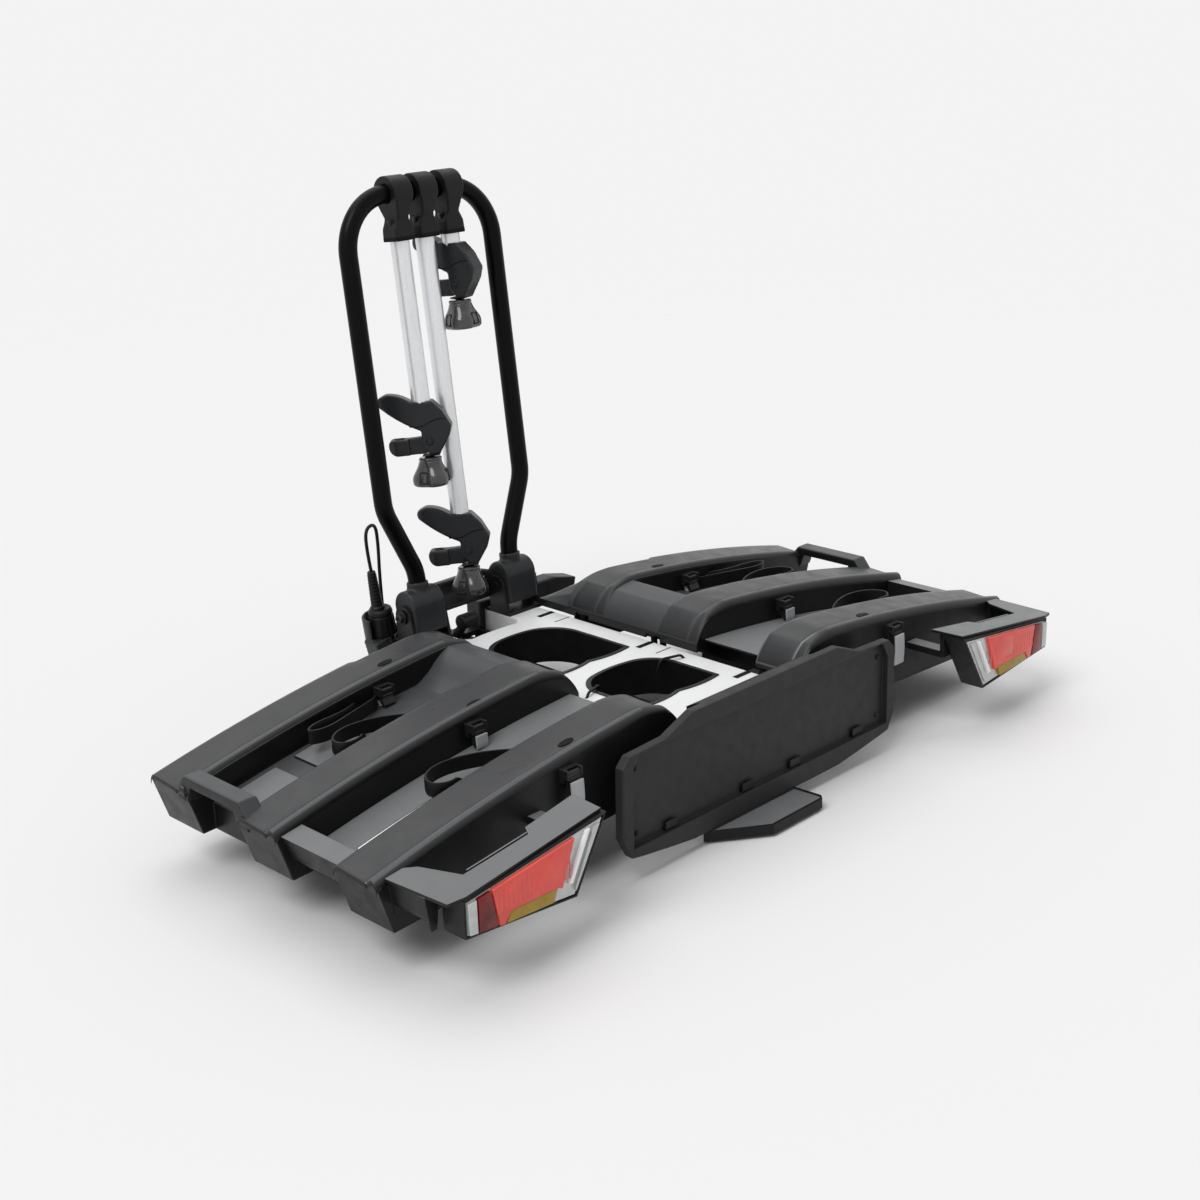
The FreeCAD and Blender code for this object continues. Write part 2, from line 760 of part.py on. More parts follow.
def wheel_straps():
    # rubber bands on edge: two loops in the first channel, one in the second, all fixed to a rail's wall
    far_wall = rail_far(0) - rail_wide - strap_thick
    near_wall = rail_far(1) + strap_thick
    last_wall = rail_far(2) + strap_thick
    loops = [
        [(326, far_wall - 4), (340, far_wall - 12), (390, 74), (436, 58), (466, 68), (440, 84), (395, 86),
         (354, far_wall)],
        [(strap_slot_x, near_wall), (344, 20), (385, 42), (428, 44), (458, 26), (460, 4), (438, -3),
         (412, 12)],
        [(318, last_wall), (330, -172), (366, -148), (412, -136), (450, -148), (464, -176), (444, -191),
         (420, -184)],
    ]
    shapes = []
    for points in loops:
        level = top_at(390) - 27
        spots = [(p[0], p[1], level) for p in points]
        path = rounded_path(spots, tangent_radii(spots))
        edge = path.OrderedEdges[0]
        spot = edge.valueAt(edge.FirstParameter)
        way = edge.tangentAt(edge.FirstParameter)
        side = vec(-way.y, way.x, 0) * (strap_thick / 2)
        up = vec(0, 0, strap_wide)
        ring = Part.makePolygon([spot + side, spot - side, spot - side + up, spot + side + up,
                                 spot + side])
        band = path.makePipeShell([ring], True, False)
        print("strap length", round(path.Length, 1), "volume share",
              round(band.Volume / (path.Length * strap_thick * strap_wide), 4))
        shapes.append(band)
    # the short tongue under each buckle
    for index in (0, 1, 2):
        x, y, z = buckle_spot(index)
        tongue = slab([(y - 4, z - 16.3), (y - 1.6, z - 16.3), (y - 1.6, z - 24), (y - 4, z - 24)],
                      "yz", x - 8, x + 8)
        shapes.append(tongue)
    return group(shapes)


# The hoop and its folding feet, all in the hoop's upright plane
def hoop_path():
    points = [(hoop_foot_half, 0, 4), (hoop_foot_half, 0, bend_low), (hoop_half, 0, bend_high),
              (hoop_half, 0, hoop_high), (-hoop_half, 0, hoop_high), (-hoop_half, 0, bend_high),
              (-hoop_foot_half, 0, bend_low), (-hoop_foot_half, 0, 4)]
    return rounded_path(points, (bend_r, bend_r, corner_r, corner_r, bend_r, bend_r))


def hoop_tube():
    path = hoop_path()
    outer = sweep(path, ring_at(path, tube_r))
    inner = sweep(path, ring_at(path, tube_r - tube_wall))
    return lean(outer.cut(inner))


def hoop_base():
    # two arched castings that hold the tube's ends, joined by a bridge behind the arms
    shapes = []
    arch = [(-foot_r + 1, -foot_low), (-foot_r, 0), (0, foot_r, foot_r, 0), (foot_r - 3, -foot_low + 6),
            (foot_r - 9, -foot_low)]
    for side in (-1, 1):
        inner = side * foot_in
        outer = side * foot_out
        body = slab(arch, "yz", min(inner, outer), max(inner, outer))
        body = soften(body, 3.0, lambda e: e.Length > 15 and abs(middle(e).x) < foot_out + 0.1
                      and middle(e).z > -20 and not is_across(e))
        sleeve = rod(tube_r + 3, (side * hoop_foot_half, 0, 0), (side * hoop_foot_half, 0, foot_sleeve + 8))
        body = fuse([body, sleeve])
        socket = rod(tube_r + 0.02, (side * hoop_foot_half, 0, 4), (side * hoop_foot_half, 0, 80))
        bore = rod(hoop_pin_r + pin_gap, (min(inner, outer) - 1, 0, -14), (max(inner, outer) + 1, 0, -14))
        shapes.append(body.cut(socket).cut(bore))
    back = [(36, 8), (48, 9), (52, 0), (31, -34), (22, -34), (22, -28), (36, -10)]
    bridge = slab(back, "yz", -foot_in - 1, foot_in + 1)
    ends = []
    for side in (-1, 1):
        low = min(side * foot_in, side * (foot_in + 6))
        ends.append(slab([(12, 10), (48, 9), (52, 0), (31, -34), (14, -34)], "yz", low, low + 6))
    return lean(fuse(shapes + [bridge] + ends))


def is_across(edge):
    a, b = edge.Vertexes[0].Point, edge.Vertexes[-1].Point
    return abs(a.x - b.x) > 1


def hoop_brackets():
    # upright cheeks each side of the hoop's feet, on a plate bolted to the frame
    shapes = []
    base_top = frame_top + bracket_thick
    pin_world = pin_point()
    for inner, outer in ((foot_in - gap - cheek_thick, foot_in - gap), (foot_out + gap, foot_out + gap + cheek_thick)):
        cheek = slab([(hoop_y - 28, frame_top), (pin_world[0] - cheek_r, pin_world[1]),
                      (pin_world[0], pin_world[1] + cheek_r, pin_world[0] + cheek_r, pin_world[1]),
                      (hoop_y + 14, frame_top)], "yz", inner, outer)
        shapes.append(cheek)
    plate = box(foot_in - gap - cheek_thick, foot_out + gap + cheek_thick, hoop_y - bracket_lead, hoop_y + 25,
                frame_top, base_top)
    body = fuse(shapes + [plate])
    body = body.cut(rod(hoop_pin_r, (0, pin_world[0], pin_world[1]), (200, pin_world[0], pin_world[1])))
    return both(body)


def pin_point():
    # the fold pin's place in the Y-Z plane
    spot = lean(Part.Vertex(vec(0, 0, -14))).Point
    return spot.y, spot.z


def hinge_hardware():
    y, z = pin_point()
    reach = cheek_thick + gap + 2
    pin = rod(hoop_pin_r, (foot_in - reach, y, z), (foot_out + reach, y, z))
    pins = [both(pin), rod(pedal_pin_r, (-pedal_half - 8, pedal_pin_y, pedal_pin_z),
                           (pedal_half + 8, pedal_pin_y, pedal_pin_z))]
    for one in fold_pins():
        pins.append(both(one))
    pins.append(rod(tilt_pin_r, (-ear_in - ear_thick - 2, tilt_y, tilt_z),
                    (ear_in + ear_thick + 2, tilt_y, tilt_z)))
    solids = []
    for one in pins:
        solids += one.Solids
    return group(solids)


# Arms: head on the bar, silver tube, claw with finger and knob
def arm_head(index):
    x = arm_x[index]
    half = head_wide / 2
    front = slab([(x - half, hoop_high + head_r), (x + half, hoop_high + head_r),
                  (x + half, hoop_high - 4), (x + waist_half, collar_top + 4),
                  (x + collar_half, collar_top - 12), (x + collar_half, collar_low),
                  (x - collar_half, collar_low), (x - collar_half, collar_top - 12),
                  (x - waist_half, collar_top + 4), (x - half, hoop_high - 4)], "xz", -40, 40)
    depth = slab([(-head_r, hoop_high), (0, hoop_high + head_r, head_r, hoop_high), (head_r, hoop_high - 8),
                  (15, collar_top), (17, collar_low), (-17, collar_low), (-15, collar_top),
                  (-head_r, hoop_high - 8)], "yz", x - 60, x + 60)
    body = front.common(depth)
    body = soften(body, 2.0, lambda e: collar_low + 2 < middle(e).z < collar_top - 14)
    body = body.cut(rod(tube_r + pin_gap, (x - 60, 0, hoop_high), (x + 60, 0, hoop_high)))
    # the bore is wider where the bar starts to bend
    bend = hoop_half - corner_r - 1
    if x + half > bend:
        body = body.cut(rod(tube_r + bend_relief, (bend, 0, hoop_high), (x + half + 1, 0, hoop_high)))
    socket = rod(arm_r + 0.02, (x, 0, collar_low - 1), (x, 0, collar_low + 30))
    return lean(body.cut(socket))


def arm_tube(index):
    x = arm_x[index]
    outer = rod(arm_r, (x, 0, arm_low[index]), (x, 0, collar_low + 30))
    inner = rod(arm_bore_r, (x, 0, arm_low[index] - 1), (x, 0, collar_low + 31))
    return lean(outer.cut(inner))


def at_claw(shape, index):
    turned = shape.copy()
    turned.rotate(vec(0, 0, 0), vec(0, 0, 1), claw_turn[index])
    turned.translate(vec(arm_x[index], 0, arm_low[index]))
    return lean(turned)


def claw_body():
    # the fixed upper jaw, its hub and the neck that the knob turns on; the mouth opens along +X
    side = [(-17, 5), (16, 7), (34, 17, 50, 20), (60, 16), (65, 9, 63, 2), (56, -4),
            (30, -24, 4, -38), (4, -62), (-6, -74), (-20, -74), (-37, -49), (-42, -34), (-31, -11)]
    body = slab(side, "xz", -claw_half, claw_half)
    # plan taper of the jaw's tip
    body = body.common(slab([(-50, -claw_half), (10, -claw_half), (56, -10), (66, 0, 56, 10),
                             (10, claw_half), (-50, claw_half)], "xy", -200, 100))
    # slot for the finger, open towards the mouth
    slot = slab([(finger_pin_u - 14, finger_pin_z + 10), (80, -36), (80, -78), (-4, -78),
                 (finger_pin_u - 14, finger_pin_z - 12)], "xz", -finger_half - gap, finger_half + gap)
    body = body.cut(slot)
    body = body.cut(rod(finger_pin_r + pin_gap, (finger_pin_u, -30, finger_pin_z),
                        (finger_pin_u, 30, finger_pin_z)))
    # socket for the arm tube and a sleeve that turns in it
    body = body.cut(rod(arm_r + gap, (0, 0, 0), (0, 0, 40)))
    sleeve = rod(arm_bore_r - pin_gap, (0, 0, -6), (0, 0, 22))
    neck = rod(9.0, (-knob_off, 0, -76), (-knob_off, 0, -knob_top + gap))
    stub = rod(knob_pin_r, (-knob_off, 0, -knob_top - 20), (-knob_off, 0, -75))
    bridge = box(-20, 7, -claw_half + 2, claw_half - 2, -77, -74)
    return fuse([body, sleeve, bridge, neck, stub])


def is_sideways(edge):
    a, b = edge.Vertexes[0].Point, edge.Vertexes[-1].Point
    return abs(a.y - b.y) > 1


def claw_finger():
    side = [(finger_pin_u - 9, finger_pin_z), (finger_pin_u, finger_pin_z + 9, 6, -48), (44, -49),
            (52, -50, 55, -57), (52, -68, 40, -73), (10, -73), (0, -72, finger_pin_u - 6, finger_pin_z - 7)]
    body = slab(side, "xz", -finger_half, finger_half)
    tip = slab([(24, -49.5), (44, -49), (52, -50, 55, -57), (52, -68, 40, -73), (24, -73)], "xz", -13, 13)
    tip = tip.common(slab([(20, -13), (46, -13), (58, -7), (58, 7), (46, 13), (20, 13)], "xy", -90, -40))
    pin = rod(finger_pin_r, (finger_pin_u, -claw_half - 1, finger_pin_z),
              (finger_pin_u, claw_half + 1, finger_pin_z))
    return fuse([body, tip, pin])


def claw_knob():
    # three flat wings round a centre that turns on the stub
    rim = []
    for k in range(3):
        a = math.radians(120 * k)
        b = math.radians(120 * k + 60)
        rim.append((knob_r * math.cos(a), knob_r * math.sin(a)))
        rim.append((0.8 * knob_r * math.cos(b), 0.8 * knob_r * math.sin(b)))
    body = slab(rim, "xy", -knob_low, -knob_top)
    body = soften(body, 7.0, is_upright)
    cone = Part.makeCone(knob_r - 1, 17, 26, vec(0, 0, -knob_low + 18))
    low = Part.makeCylinder(knob_r, 18.1, vec(0, 0, -knob_low))
    body = body.common(fuse([cone, low]))
    body = body.cut(rod(knob_pin_r + pin_gap, (0, 0, -knob_top - 20.5), (0, 0, -60)))
    body.translate(vec(-knob_off, 0, 0))
    return body


# Tow ball coupling with its lever and clamp jaw
def coupling_housing():
    side = [(tilt_y - 13, tilt_z), (tilt_y, tilt_z + 13, tilt_y + 8, tilt_z + 11), (coupling_end - 24, 98),
            (coupling_end - 6, 92, coupling_end, 74), (coupling_end, coupling_low),
            (tilt_y + 12, coupling_low), (tilt_y - 10, tilt_z - 10)]
    body = slab(side, "yz", -coupling_half, coupling_half)
    half = coupling_half
    body = body.common(slab([(-half, coupling_low), (-half, 84), (-half + 5, 95, -half + 18, 101),
                             (half - 18, 101), (half - 5, 95, half, 84), (half, coupling_low)],
                            "xz", tilt_y - 20, coupling_end + 1))
    ball = Part.makeSphere(ball_r + ball_gap, vec(0, ball_y, ball_z))
    throat = rod(ball_r + ball_gap, (0, ball_y, 0), (0, ball_y, ball_z))
    body = body.cut(ball).cut(throat)
    # slot for the clamp jaw and the well for the lever
    body = body.cut(box(-14 - gap, 14 + gap, tilt_y + 12, ball_y - 10, 50, 76))
    body = body.cut(box(-lever_half - gap, lever_half + gap, tilt_y - 20, tilt_y + 42, tilt_z + 4, 120))
    body = body.cut(rod(tilt_pin_r + pin_gap, (-60, tilt_y, tilt_z), (60, tilt_y, tilt_z)))
    ears = []
    for edge in (-lever_half - gap - 7, lever_half + gap):
        ears.append(slab([(lever_y - 12, 90), (lever_y - 8, lever_z + 3), (lever_y, lever_z + 8,
                          lever_y + 8, lever_z + 3), (lever_y + 12, 90)], "yz", edge, edge + 7))
    reach = lever_half + gap + 8
    pin = rod(lever_pin_r, (-reach, lever_y, lever_z), (reach, lever_y, lever_z))
    return fuse([body] + ears + [pin])


def clamp_jaw():
    body = box(-14, 14, tilt_y + 16, ball_y - 10, 50.5, 75.5)
    return body.cut(Part.makeSphere(ball_r + 1.0, vec(0, ball_y, ball_z)))


def clamp_lever():
    hub = rod(7.0, (-lever_half, lever_y, lever_z), (lever_half, lever_y, lever_z))
    stem = slab([(lever_y + 4, lever_z + 5), (lever_y - 5, lever_z - 4), (grip_y - 3, grip_z - 4),
                 (grip_y + 6, grip_z + 4)], "yz", -5, 5)
    grip = rod(grip_r, (-grip_half, grip_y, grip_z), (grip_half, grip_y, grip_z))
    grip = soften(grip, 4.0, lambda e: abs(abs(middle(e).x) - grip_half) < 0.1)
    body = fuse([hub, stem, grip])
    return body.cut(rod(lever_pin_r + pin_gap, (-60, lever_y, lever_z), (60, lever_y, lever_z)))


# Car side: carrier plate with tilt ears and wheel forks, cover, wheels
def wheel_carrier():
    plate = box(-160, 160, frame_front - 30, car_cover_far, carrier_low, carrier_high)
    plate = plate.cut(box(-lever_half - 9, lever_half + 9, frame_front - 30 + 8, 400, 0, 200))
    plate = plate.cut(box(-frame_half - 1, frame_half + 1, 0, frame_front + 0.3, 0, 200))
    tie = box(-frame_half + frame_wall + gap, frame_half - frame_wall - gap, notch_start + 40,
              frame_front - 5, 82, frame_top - frame_deep)
    tie = tie.cut(box(-ear_in + 2, ear_in - 2, 0, 400, 0, 200))
    shapes = [plate, tie]
    for side in (-1, 1):
        low = min(side * ear_in, side * (ear_in + ear_thick))
        ear = slab([(tilt_y - 16, carrier_high), (tilt_y - 16, tilt_z), (tilt_y, tilt_z - 16,
                    tilt_y + 16, tilt_z), (tilt_y + 16, carrier_high)], "yz", low, low + ear_thick)
        shapes.append(ear)
        for edge in (wheel_x - wheel_half - 1.5 - fork_thick, wheel_x + wheel_half + 1.5):
            near = min(side * edge, side * (edge + fork_thick))
            fork = slab([(wheel_y - 12, carrier_high), (wheel_y - 10, wheel_r), (wheel_y, wheel_r - 12,
                         wheel_y + 10, wheel_r), (wheel_y + 12, carrier_high)],
                        "yz", near, near + fork_thick)
            shapes.append(fork)
    reach = wheel_half + 1.5 + fork_thick + 2
    axle = both(rod(axle_r, (wheel_x - reach, wheel_y, wheel_r), (wheel_x + reach, wheel_y, wheel_r)))
    body = fuse(shapes + axle.Solids)
    return body.cut(rod(tilt_pin_r, (-200, tilt_y, tilt_z), (200, tilt_y, tilt_z)))


def wheel(side):
    tyre = rod(wheel_r, (side * wheel_x - wheel_half, wheel_y, wheel_r),
               (side * wheel_x + wheel_half, wheel_y, wheel_r))
    tyre = soften(tyre, 3.0, lambda e: abs(abs(middle(e).x - side * wheel_x) - wheel_half) < 0.1)
    return tyre.cut(rod(axle_r + pin_gap, (side * wheel_x - 20, wheel_y, wheel_r),
                        (side * wheel_x + 20, wheel_y, wheel_r)))


def car_cover():
    shell = []
    for side in (-1, 1):
        inner = side * window_half
        reach = cover_right if side > 0 else cover_left
        body = slab([(inner, carrier_high + seat), (inner, car_cover_top), (side * (reach - 50), car_cover_top),
                     (side * reach, car_cover_top - 12), (side * (reach - 8), carrier_high + seat)],
                    "xz", car_cover_near, car_cover_far)
        body = soften(body, 4.0, lambda e: not is_sideways(e) and middle(e).z > car_cover_top - 1)
        core = slab([(inner + side * 3, 90), (inner + side * 3, car_cover_top - 3),
                     (side * (reach - 51), car_cover_top - 3), (side * (reach - 4), car_cover_top - 14.5),
                     (side * (reach - 12), 90)], "xz", car_cover_near + 3, car_cover_far - 3)
        shell.append(body.cut(core))
    cup = plug_frame(Part.makeCylinder(plug_r + gap, 60))
    shell[0] = fuse([shell[0].cut(cup), plug_cup()])
    return group(shell)


def plug_frame(shape):
    turned = shape.copy()
    turned.rotate(vec(0, 0, 0), vec(0, 1, 0), -plug_lean)
    turned.translate(vec(plug_x, plug_y, plug_base))
    return turned


def plug_cup():
    # quarter sleeve behind the parked plug, with a floor under it
    inner = plug_r + cup_gap
    outer = inner + cup_wall
    front = car_cover_near - plug_y
    sleeve = Part.makeCylinder(outer, cup_high).cut(Part.makeCylinder(inner, cup_high + 1))
    sleeve = sleeve.common(box(-outer, 8, -6, outer, 0, cup_high))
    floor = Part.makeCylinder(plug_r + 1, 4, vec(0, 0, -4)).common(box(-outer, outer, front, outer, -4, 0))
    side = Part.makeCylinder(outer, 4.1, vec(0, 0, -4)).common(box(-outer, 8, -6, outer, -4, 1))
    return plug_frame(fuse([sleeve, side, floor]))


def trailer_plug():
    body = Part.makeCone(plug_r, plug_r - 2.5, plug_high - 8, vec(0, 0, seat))
    cap = Part.makeCone(plug_r - 1.5, plug_r - 4, 8, vec(0, 0, plug_high - 8))
    relief = Part.makeCone(relief_r, relief_r - 2.5, relief_high, vec(relief_off, 0, plug_high))
    collar = Part.makeCylinder(relief_r + 2, 6, vec(relief_off, 0, plug_high - 1))
    return plug_frame(fuse([body, cap, relief, collar]))


# The holder for the number plate, its carrier and clips
def plate_outline(cut):
    half = plate_half - cut
    low = 20 + cut
    return [(-half + 16, 36 + cut), (-250, 33 + cut), (-200, low + 6), (-150, low), (150, low),
            (200, low + 6), (250, 33 + cut), (half - 16, 36 + cut), (half, 66), (half - 3, 160),
            (half - 16, 173 - cut), (hump_half + 50, 176 - cut), (hump_half, hump_z - cut),
            (-hump_half, hump_z - cut), (-hump_half - 50, 176 - cut), (-half + 16, 173 - cut),
            (-half + 3, 160), (-half, 66)]


def plate_holder():
    body = slab(plate_outline(0), "xz", plate_y - rim_out, plate_y + plate_thick)
    body = soften(body, 3.0, lambda e: abs(middle(e).y - (plate_y - rim_out)) < 0.1 and middle(e).z > 60)
    half = plate_inner_half
    low = plate_inner_low
    high = plate_inner_high
    recess = slab([(-half, low), (half, low), (half, high - 22), (half - 13, high), (-half + 13, high),
                   (-half, high - 22)], "xz", plate_y - rim_out - 1, plate_y)
    body = body.cut(recess)
    # slots for the plate clips, along the lower and upper edges
    cuts = []
    for x in clip_x:
        cuts.append(box(x - 12, x + 12, plate_y - 1, plate_y + 20, low + 1, low + 7))
    return body.cut(group(cuts))


clip_x = (-190.0, -40.0, 60.0, 200.0)


def plate_clips():
    shapes = []
    for x in clip_x:
        foot = box(x - 11, x + 11, plate_y - 5, plate_y + 7, plate_inner_low + 1.5, plate_inner_low + 6)
        hook = box(x - 11, x + 11, plate_y - 5, plate_y - 3, plate_inner_low + 1.5, plate_inner_low + 13)
        shapes.append(fuse([foot, hook]))
    return group(shapes)


def plate_carrier():
    # bracket from the frame's rear to the back of the plate holder
    back = plate_y + plate_thick + 0.3
    shapes = []
    for side in (-1, 1):
        low = min(side * 70, side * 100)
        shapes.append(box(low, low + 30, back, frame_rear + 12, frame_top - frame_deep - 16,
                          frame_top - frame_deep - 3.02))
        shapes.append(box(low, low + 30, back, back + 5, 70, 165))
    shapes.append(box(-100, 100, back, back + 5, 140, 150))
    # curved flange that closes the step from the frame's top to the plate's top edge
    flange = slab([(back, hump_z - 6), (back, hump_z - 2), (-262, 170, frame_rear - 0.3, frame_top + 1),
                   (frame_rear - 0.3, frame_top - 3), (-264, 165, back, hump_z - 6)],
                  "yz", -frame_half + 6, frame_half - 6)
    # the folded wings' ends come in over the frame beside the flange
    room = box(flange_half, frame_half, rail_far(2) - rail_wide - 3 * gap, 0, 0, hump_z + 10)
    shapes.append(flange.cut(both(room)))
    shapes.append(box(-100, 100, back, back + 5, 140, hump_z - 4))
    return fuse(shapes)


# Foot pedal: grey tread, black rim, sprung on a pin under the frame
def pedal_plan(cut):
    return [(-128 + cut, -316), (-50, -371 + cut), (53, -370 + cut), (61 - cut, -362), (58 - cut, -318),
            (44, -296), (pedal_half, -262), (pedal_half, pedal_pin_y), (-pedal_half, pedal_pin_y),
            (-pedal_half, -262), (-52, -292), (-100, -304)]


def pedal_tread():
    plan = slab(pedal_plan(rim_wall + seat), "xy", 0, 100)
    side = slab([(-372, 8), (-372, 17), (-304, 17), (-262, 36, pedal_pin_y, pedal_pin_z + 5),
                 (pedal_pin_y, pedal_pin_z - 5), (-256, 27, -300, 9), (-310, 8)], "yz", -140, 80)
    body = plan.common(side)
    hub = rod(11, (-pedal_half, pedal_pin_y, pedal_pin_z), (pedal_half, pedal_pin_y, pedal_pin_z))
    body = fuse([body, hub])
    return body.cut(rod(pedal_pin_r + pin_gap, (-60, pedal_pin_y, pedal_pin_z), (60, pedal_pin_y, pedal_pin_z)))


def pedal_rim():
    outer = slab(pedal_plan(0), "xy", 4, 18)
    inner = slab(pedal_plan(rim_wall), "xy", 0, 80)
    return outer.cut(inner).common(box(-140, 80, -380, -307, 0, 60))


# Cables
def lamp_cable(side):
    # out of the frame's opening, over its lip, and down through the hole beside the hinge
    points = [(side * 58, -66, 120), (side * 60, -66, 141), (side * 80, -74, 141.5),
              (side * lead_hole_x, lead_hole_y, 141.5), (side * lead_hole_x, lead_hole_y, 124)]
    path = rounded_path(points, tangent_radii(points))
    return sweep(path, ring_at(path, lead_r))


def tangent_radii(points):
    radii = []
    spots = [vec(*p) for p in points]
    for k in range(1, len(spots) - 1):
        before = spots[k] - spots[k - 1]
        after = spots[k + 1] - spots[k]
        turn = before.getAngle(after)
        radii.append(0.45 * min(before.Length, after.Length) / math.tan(turn / 2))
    return radii


def plug_cable():
    # up out of the relief, over a narrow loop and down behind the plug to the cover's far wall
    top = plug_frame(Part.Vertex(vec(relief_off, 0, plug_high + relief_high))).Point
    back = car_cover_far + seat
    points = [(top.x, top.y, top.z + 0.6), (-148.5, 327, 284), (-146.5, 328, cable_loop_z), (-119, 339, cable_loop_z),
              (-113.7, 343, 275), (-114.2, 344, 235), (-112, 346, 188), (-109, 348, 150), (-106, 347, 120),
              (-106, back, 120)]
    radii = tangent_radii(points)
    print("plug cable radii", [round(r, 1) for r in radii])
    path = rounded_path(points, radii)
    tube = sweep(path, ring_at(path, cable_r))
    print("plug cable length", round(path.Length, 1), "volume share",
          round(tube.Volume / (math.pi * cable_r ** 2 * path.Length), 4))
    return tube


def save(name, shape):
    shape.exportStep("parts/" + name + ".step")


save("chassis_frame", chassis_frame())
save("chassis_liner", chassis_liner())
save("spine_beam", spine_beam())
save("rear_feet", rear_feet())
save("foot_pads", foot_pads())
save("hinge_hardware", hinge_hardware())
save("hoop_brackets", hoop_brackets())
save("wheel_carrier", wheel_carrier())
save("car_side_cover", car_cover())
save("trailer_plug", trailer_plug())
save("plug_cable", plug_cable())
save("plate_holder", plate_holder())
save("plate_clips", plate_clips())
save("plate_carrier", plate_carrier())

right_wing = {
    "platform_shell": platform_shell(),
    "rear_tray": rear_tray(),
    "wing_frame": wing_frame(),
    "lamp_housing": lamp_housing(),
    "lamp_lens": lamp_lens(),
    "buckle_bases": buckle_bases(),
    "wheel_straps": wheel_straps(),
    "lamp_cable": lamp_cable(1),
}
for index in range(3):
    right_wing["buckle_lever_%d" % (index + 1)] = buckle_lever(index)
for name, shape in right_wing.items():
    save(name + "_right", shape)
    save(name + "_left", mirrored(shape))

save("hoop_tube", hoop_tube())
save("hoop_base", hoop_base())
for index, letter in enumerate("abc"):
    save("arm_head_" + letter, arm_head(index))
    save("arm_tube_" + letter, arm_tube(index))
    save("claw_body_" + letter, at_claw(claw_body(), index))
    save("claw_finger_" + letter, at_claw(claw_finger(), index))
    save("claw_knob_" + letter, at_claw(claw_knob(), index))

save("coupling_housing", coupling_housing())
save("clamp_jaw", clamp_jaw())
save("clamp_lever", clamp_lever())
save("foot_pedal", pedal_tread())
save("pedal_rim", pedal_rim())
save("wheel_right", wheel(1))
save("wheel_left", wheel(-1))
print("nodes", len(os.listdir("parts")))
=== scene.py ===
import bpy
import bmesh
import json
import math
from mathutils import Matrix, Vector

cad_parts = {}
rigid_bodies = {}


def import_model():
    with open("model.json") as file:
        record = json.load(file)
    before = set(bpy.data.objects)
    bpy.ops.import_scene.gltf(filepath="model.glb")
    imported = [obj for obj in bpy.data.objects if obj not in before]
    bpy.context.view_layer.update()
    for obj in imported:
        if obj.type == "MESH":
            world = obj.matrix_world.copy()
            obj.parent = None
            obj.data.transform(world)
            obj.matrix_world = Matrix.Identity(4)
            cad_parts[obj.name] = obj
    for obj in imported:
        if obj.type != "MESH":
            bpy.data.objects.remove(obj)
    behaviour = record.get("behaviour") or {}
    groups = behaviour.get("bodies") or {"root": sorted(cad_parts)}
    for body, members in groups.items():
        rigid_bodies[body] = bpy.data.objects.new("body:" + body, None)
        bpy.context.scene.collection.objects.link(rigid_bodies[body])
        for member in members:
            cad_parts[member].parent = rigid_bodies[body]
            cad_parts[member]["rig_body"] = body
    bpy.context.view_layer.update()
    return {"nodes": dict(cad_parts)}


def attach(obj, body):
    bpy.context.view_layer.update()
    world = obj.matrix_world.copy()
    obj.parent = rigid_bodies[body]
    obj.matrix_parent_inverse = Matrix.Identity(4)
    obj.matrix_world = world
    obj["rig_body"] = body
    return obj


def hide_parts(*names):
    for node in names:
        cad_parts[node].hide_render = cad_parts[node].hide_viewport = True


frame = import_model()
sides = (("right", 1), ("left", -1))
mm = 0.001
print("frame loaded")

# camera at the photograph's place, worked out from the carrier's own edges
cameraView = {"place": (-1.7030, -1.7175, 1.0689), "azimuth": -44.95, "elevation": 19.05, "roll": -1.87,
              "focalShare": 1.49475, "sensor": 36.0, "near": 0.05, "far": 60.0}


def makeCamera(view):
    az, el, roll = (math.radians(view[k]) for k in ("azimuth", "elevation", "roll"))
    back = Vector((math.sin(az) * math.cos(el), -math.cos(az) * math.cos(el), math.sin(el)))
    across = (-back).cross(Vector((0, 0, 1))).normalized()
    up = across.cross(-back)
    right = across * math.cos(roll) + up * math.sin(roll)
    top = up * math.cos(roll) - across * math.sin(roll)
    data = bpy.data.cameras.new("photoCamera")
    data.sensor_width = view["sensor"]
    data.lens = view["sensor"] * view["focalShare"]
    data.clip_start = view["near"]
    data.clip_end = view["far"]
    cam = bpy.data.objects.new("photoCamera", data)
    turn = Matrix((right, top, back)).transposed().to_4x4()
    cam.matrix_world = Matrix.Translation(view["place"]) @ turn
    bpy.context.scene.collection.objects.link(cam)
    bpy.context.scene.camera = cam


makeCamera(cameraView)

# what all finishes share: soft clouds of colour, a painted highlight line on edges, painted shade on upright
# walls, fine grain
basis = {"cloudDetail": 4.0, "cloudRough": 0.6, "cloudFrom": 0.3, "cloudTo": 0.7, "patchShare": 9,
         "patchDetail": 3.0, "edgeSamples": 4, "edgeFrom": 1.0, "edgeTo": 0.75, "tintGain": 1.7,
         "tintLift": 0.01, "wallFrom": 0.1, "wallTo": 0.85, "grainDetail": 2.0, "grainStrength": 0.6,
         "ior": 1.46}


def addNode(tree, kind, sockets=None, links=None, **settings):
    item = tree.nodes.new(kind)
    for key, value in settings.items():
        setattr(item, key, value)
    for key, value in (sockets or {}).items():
        item.inputs[key].default_value = value
    for key, source in (links or {}).items():
        tree.links.new(source, item.inputs[key])
    return item


def startMaterial(name):
    mat = bpy.data.materials.new(name)
    mat.use_nodes = True
    tree = mat.node_tree
    shader = tree.nodes["Principled BSDF"]
    place = addNode(tree, "ShaderNodeTexCoord").outputs["Object"]
    return mat, tree, shader, place


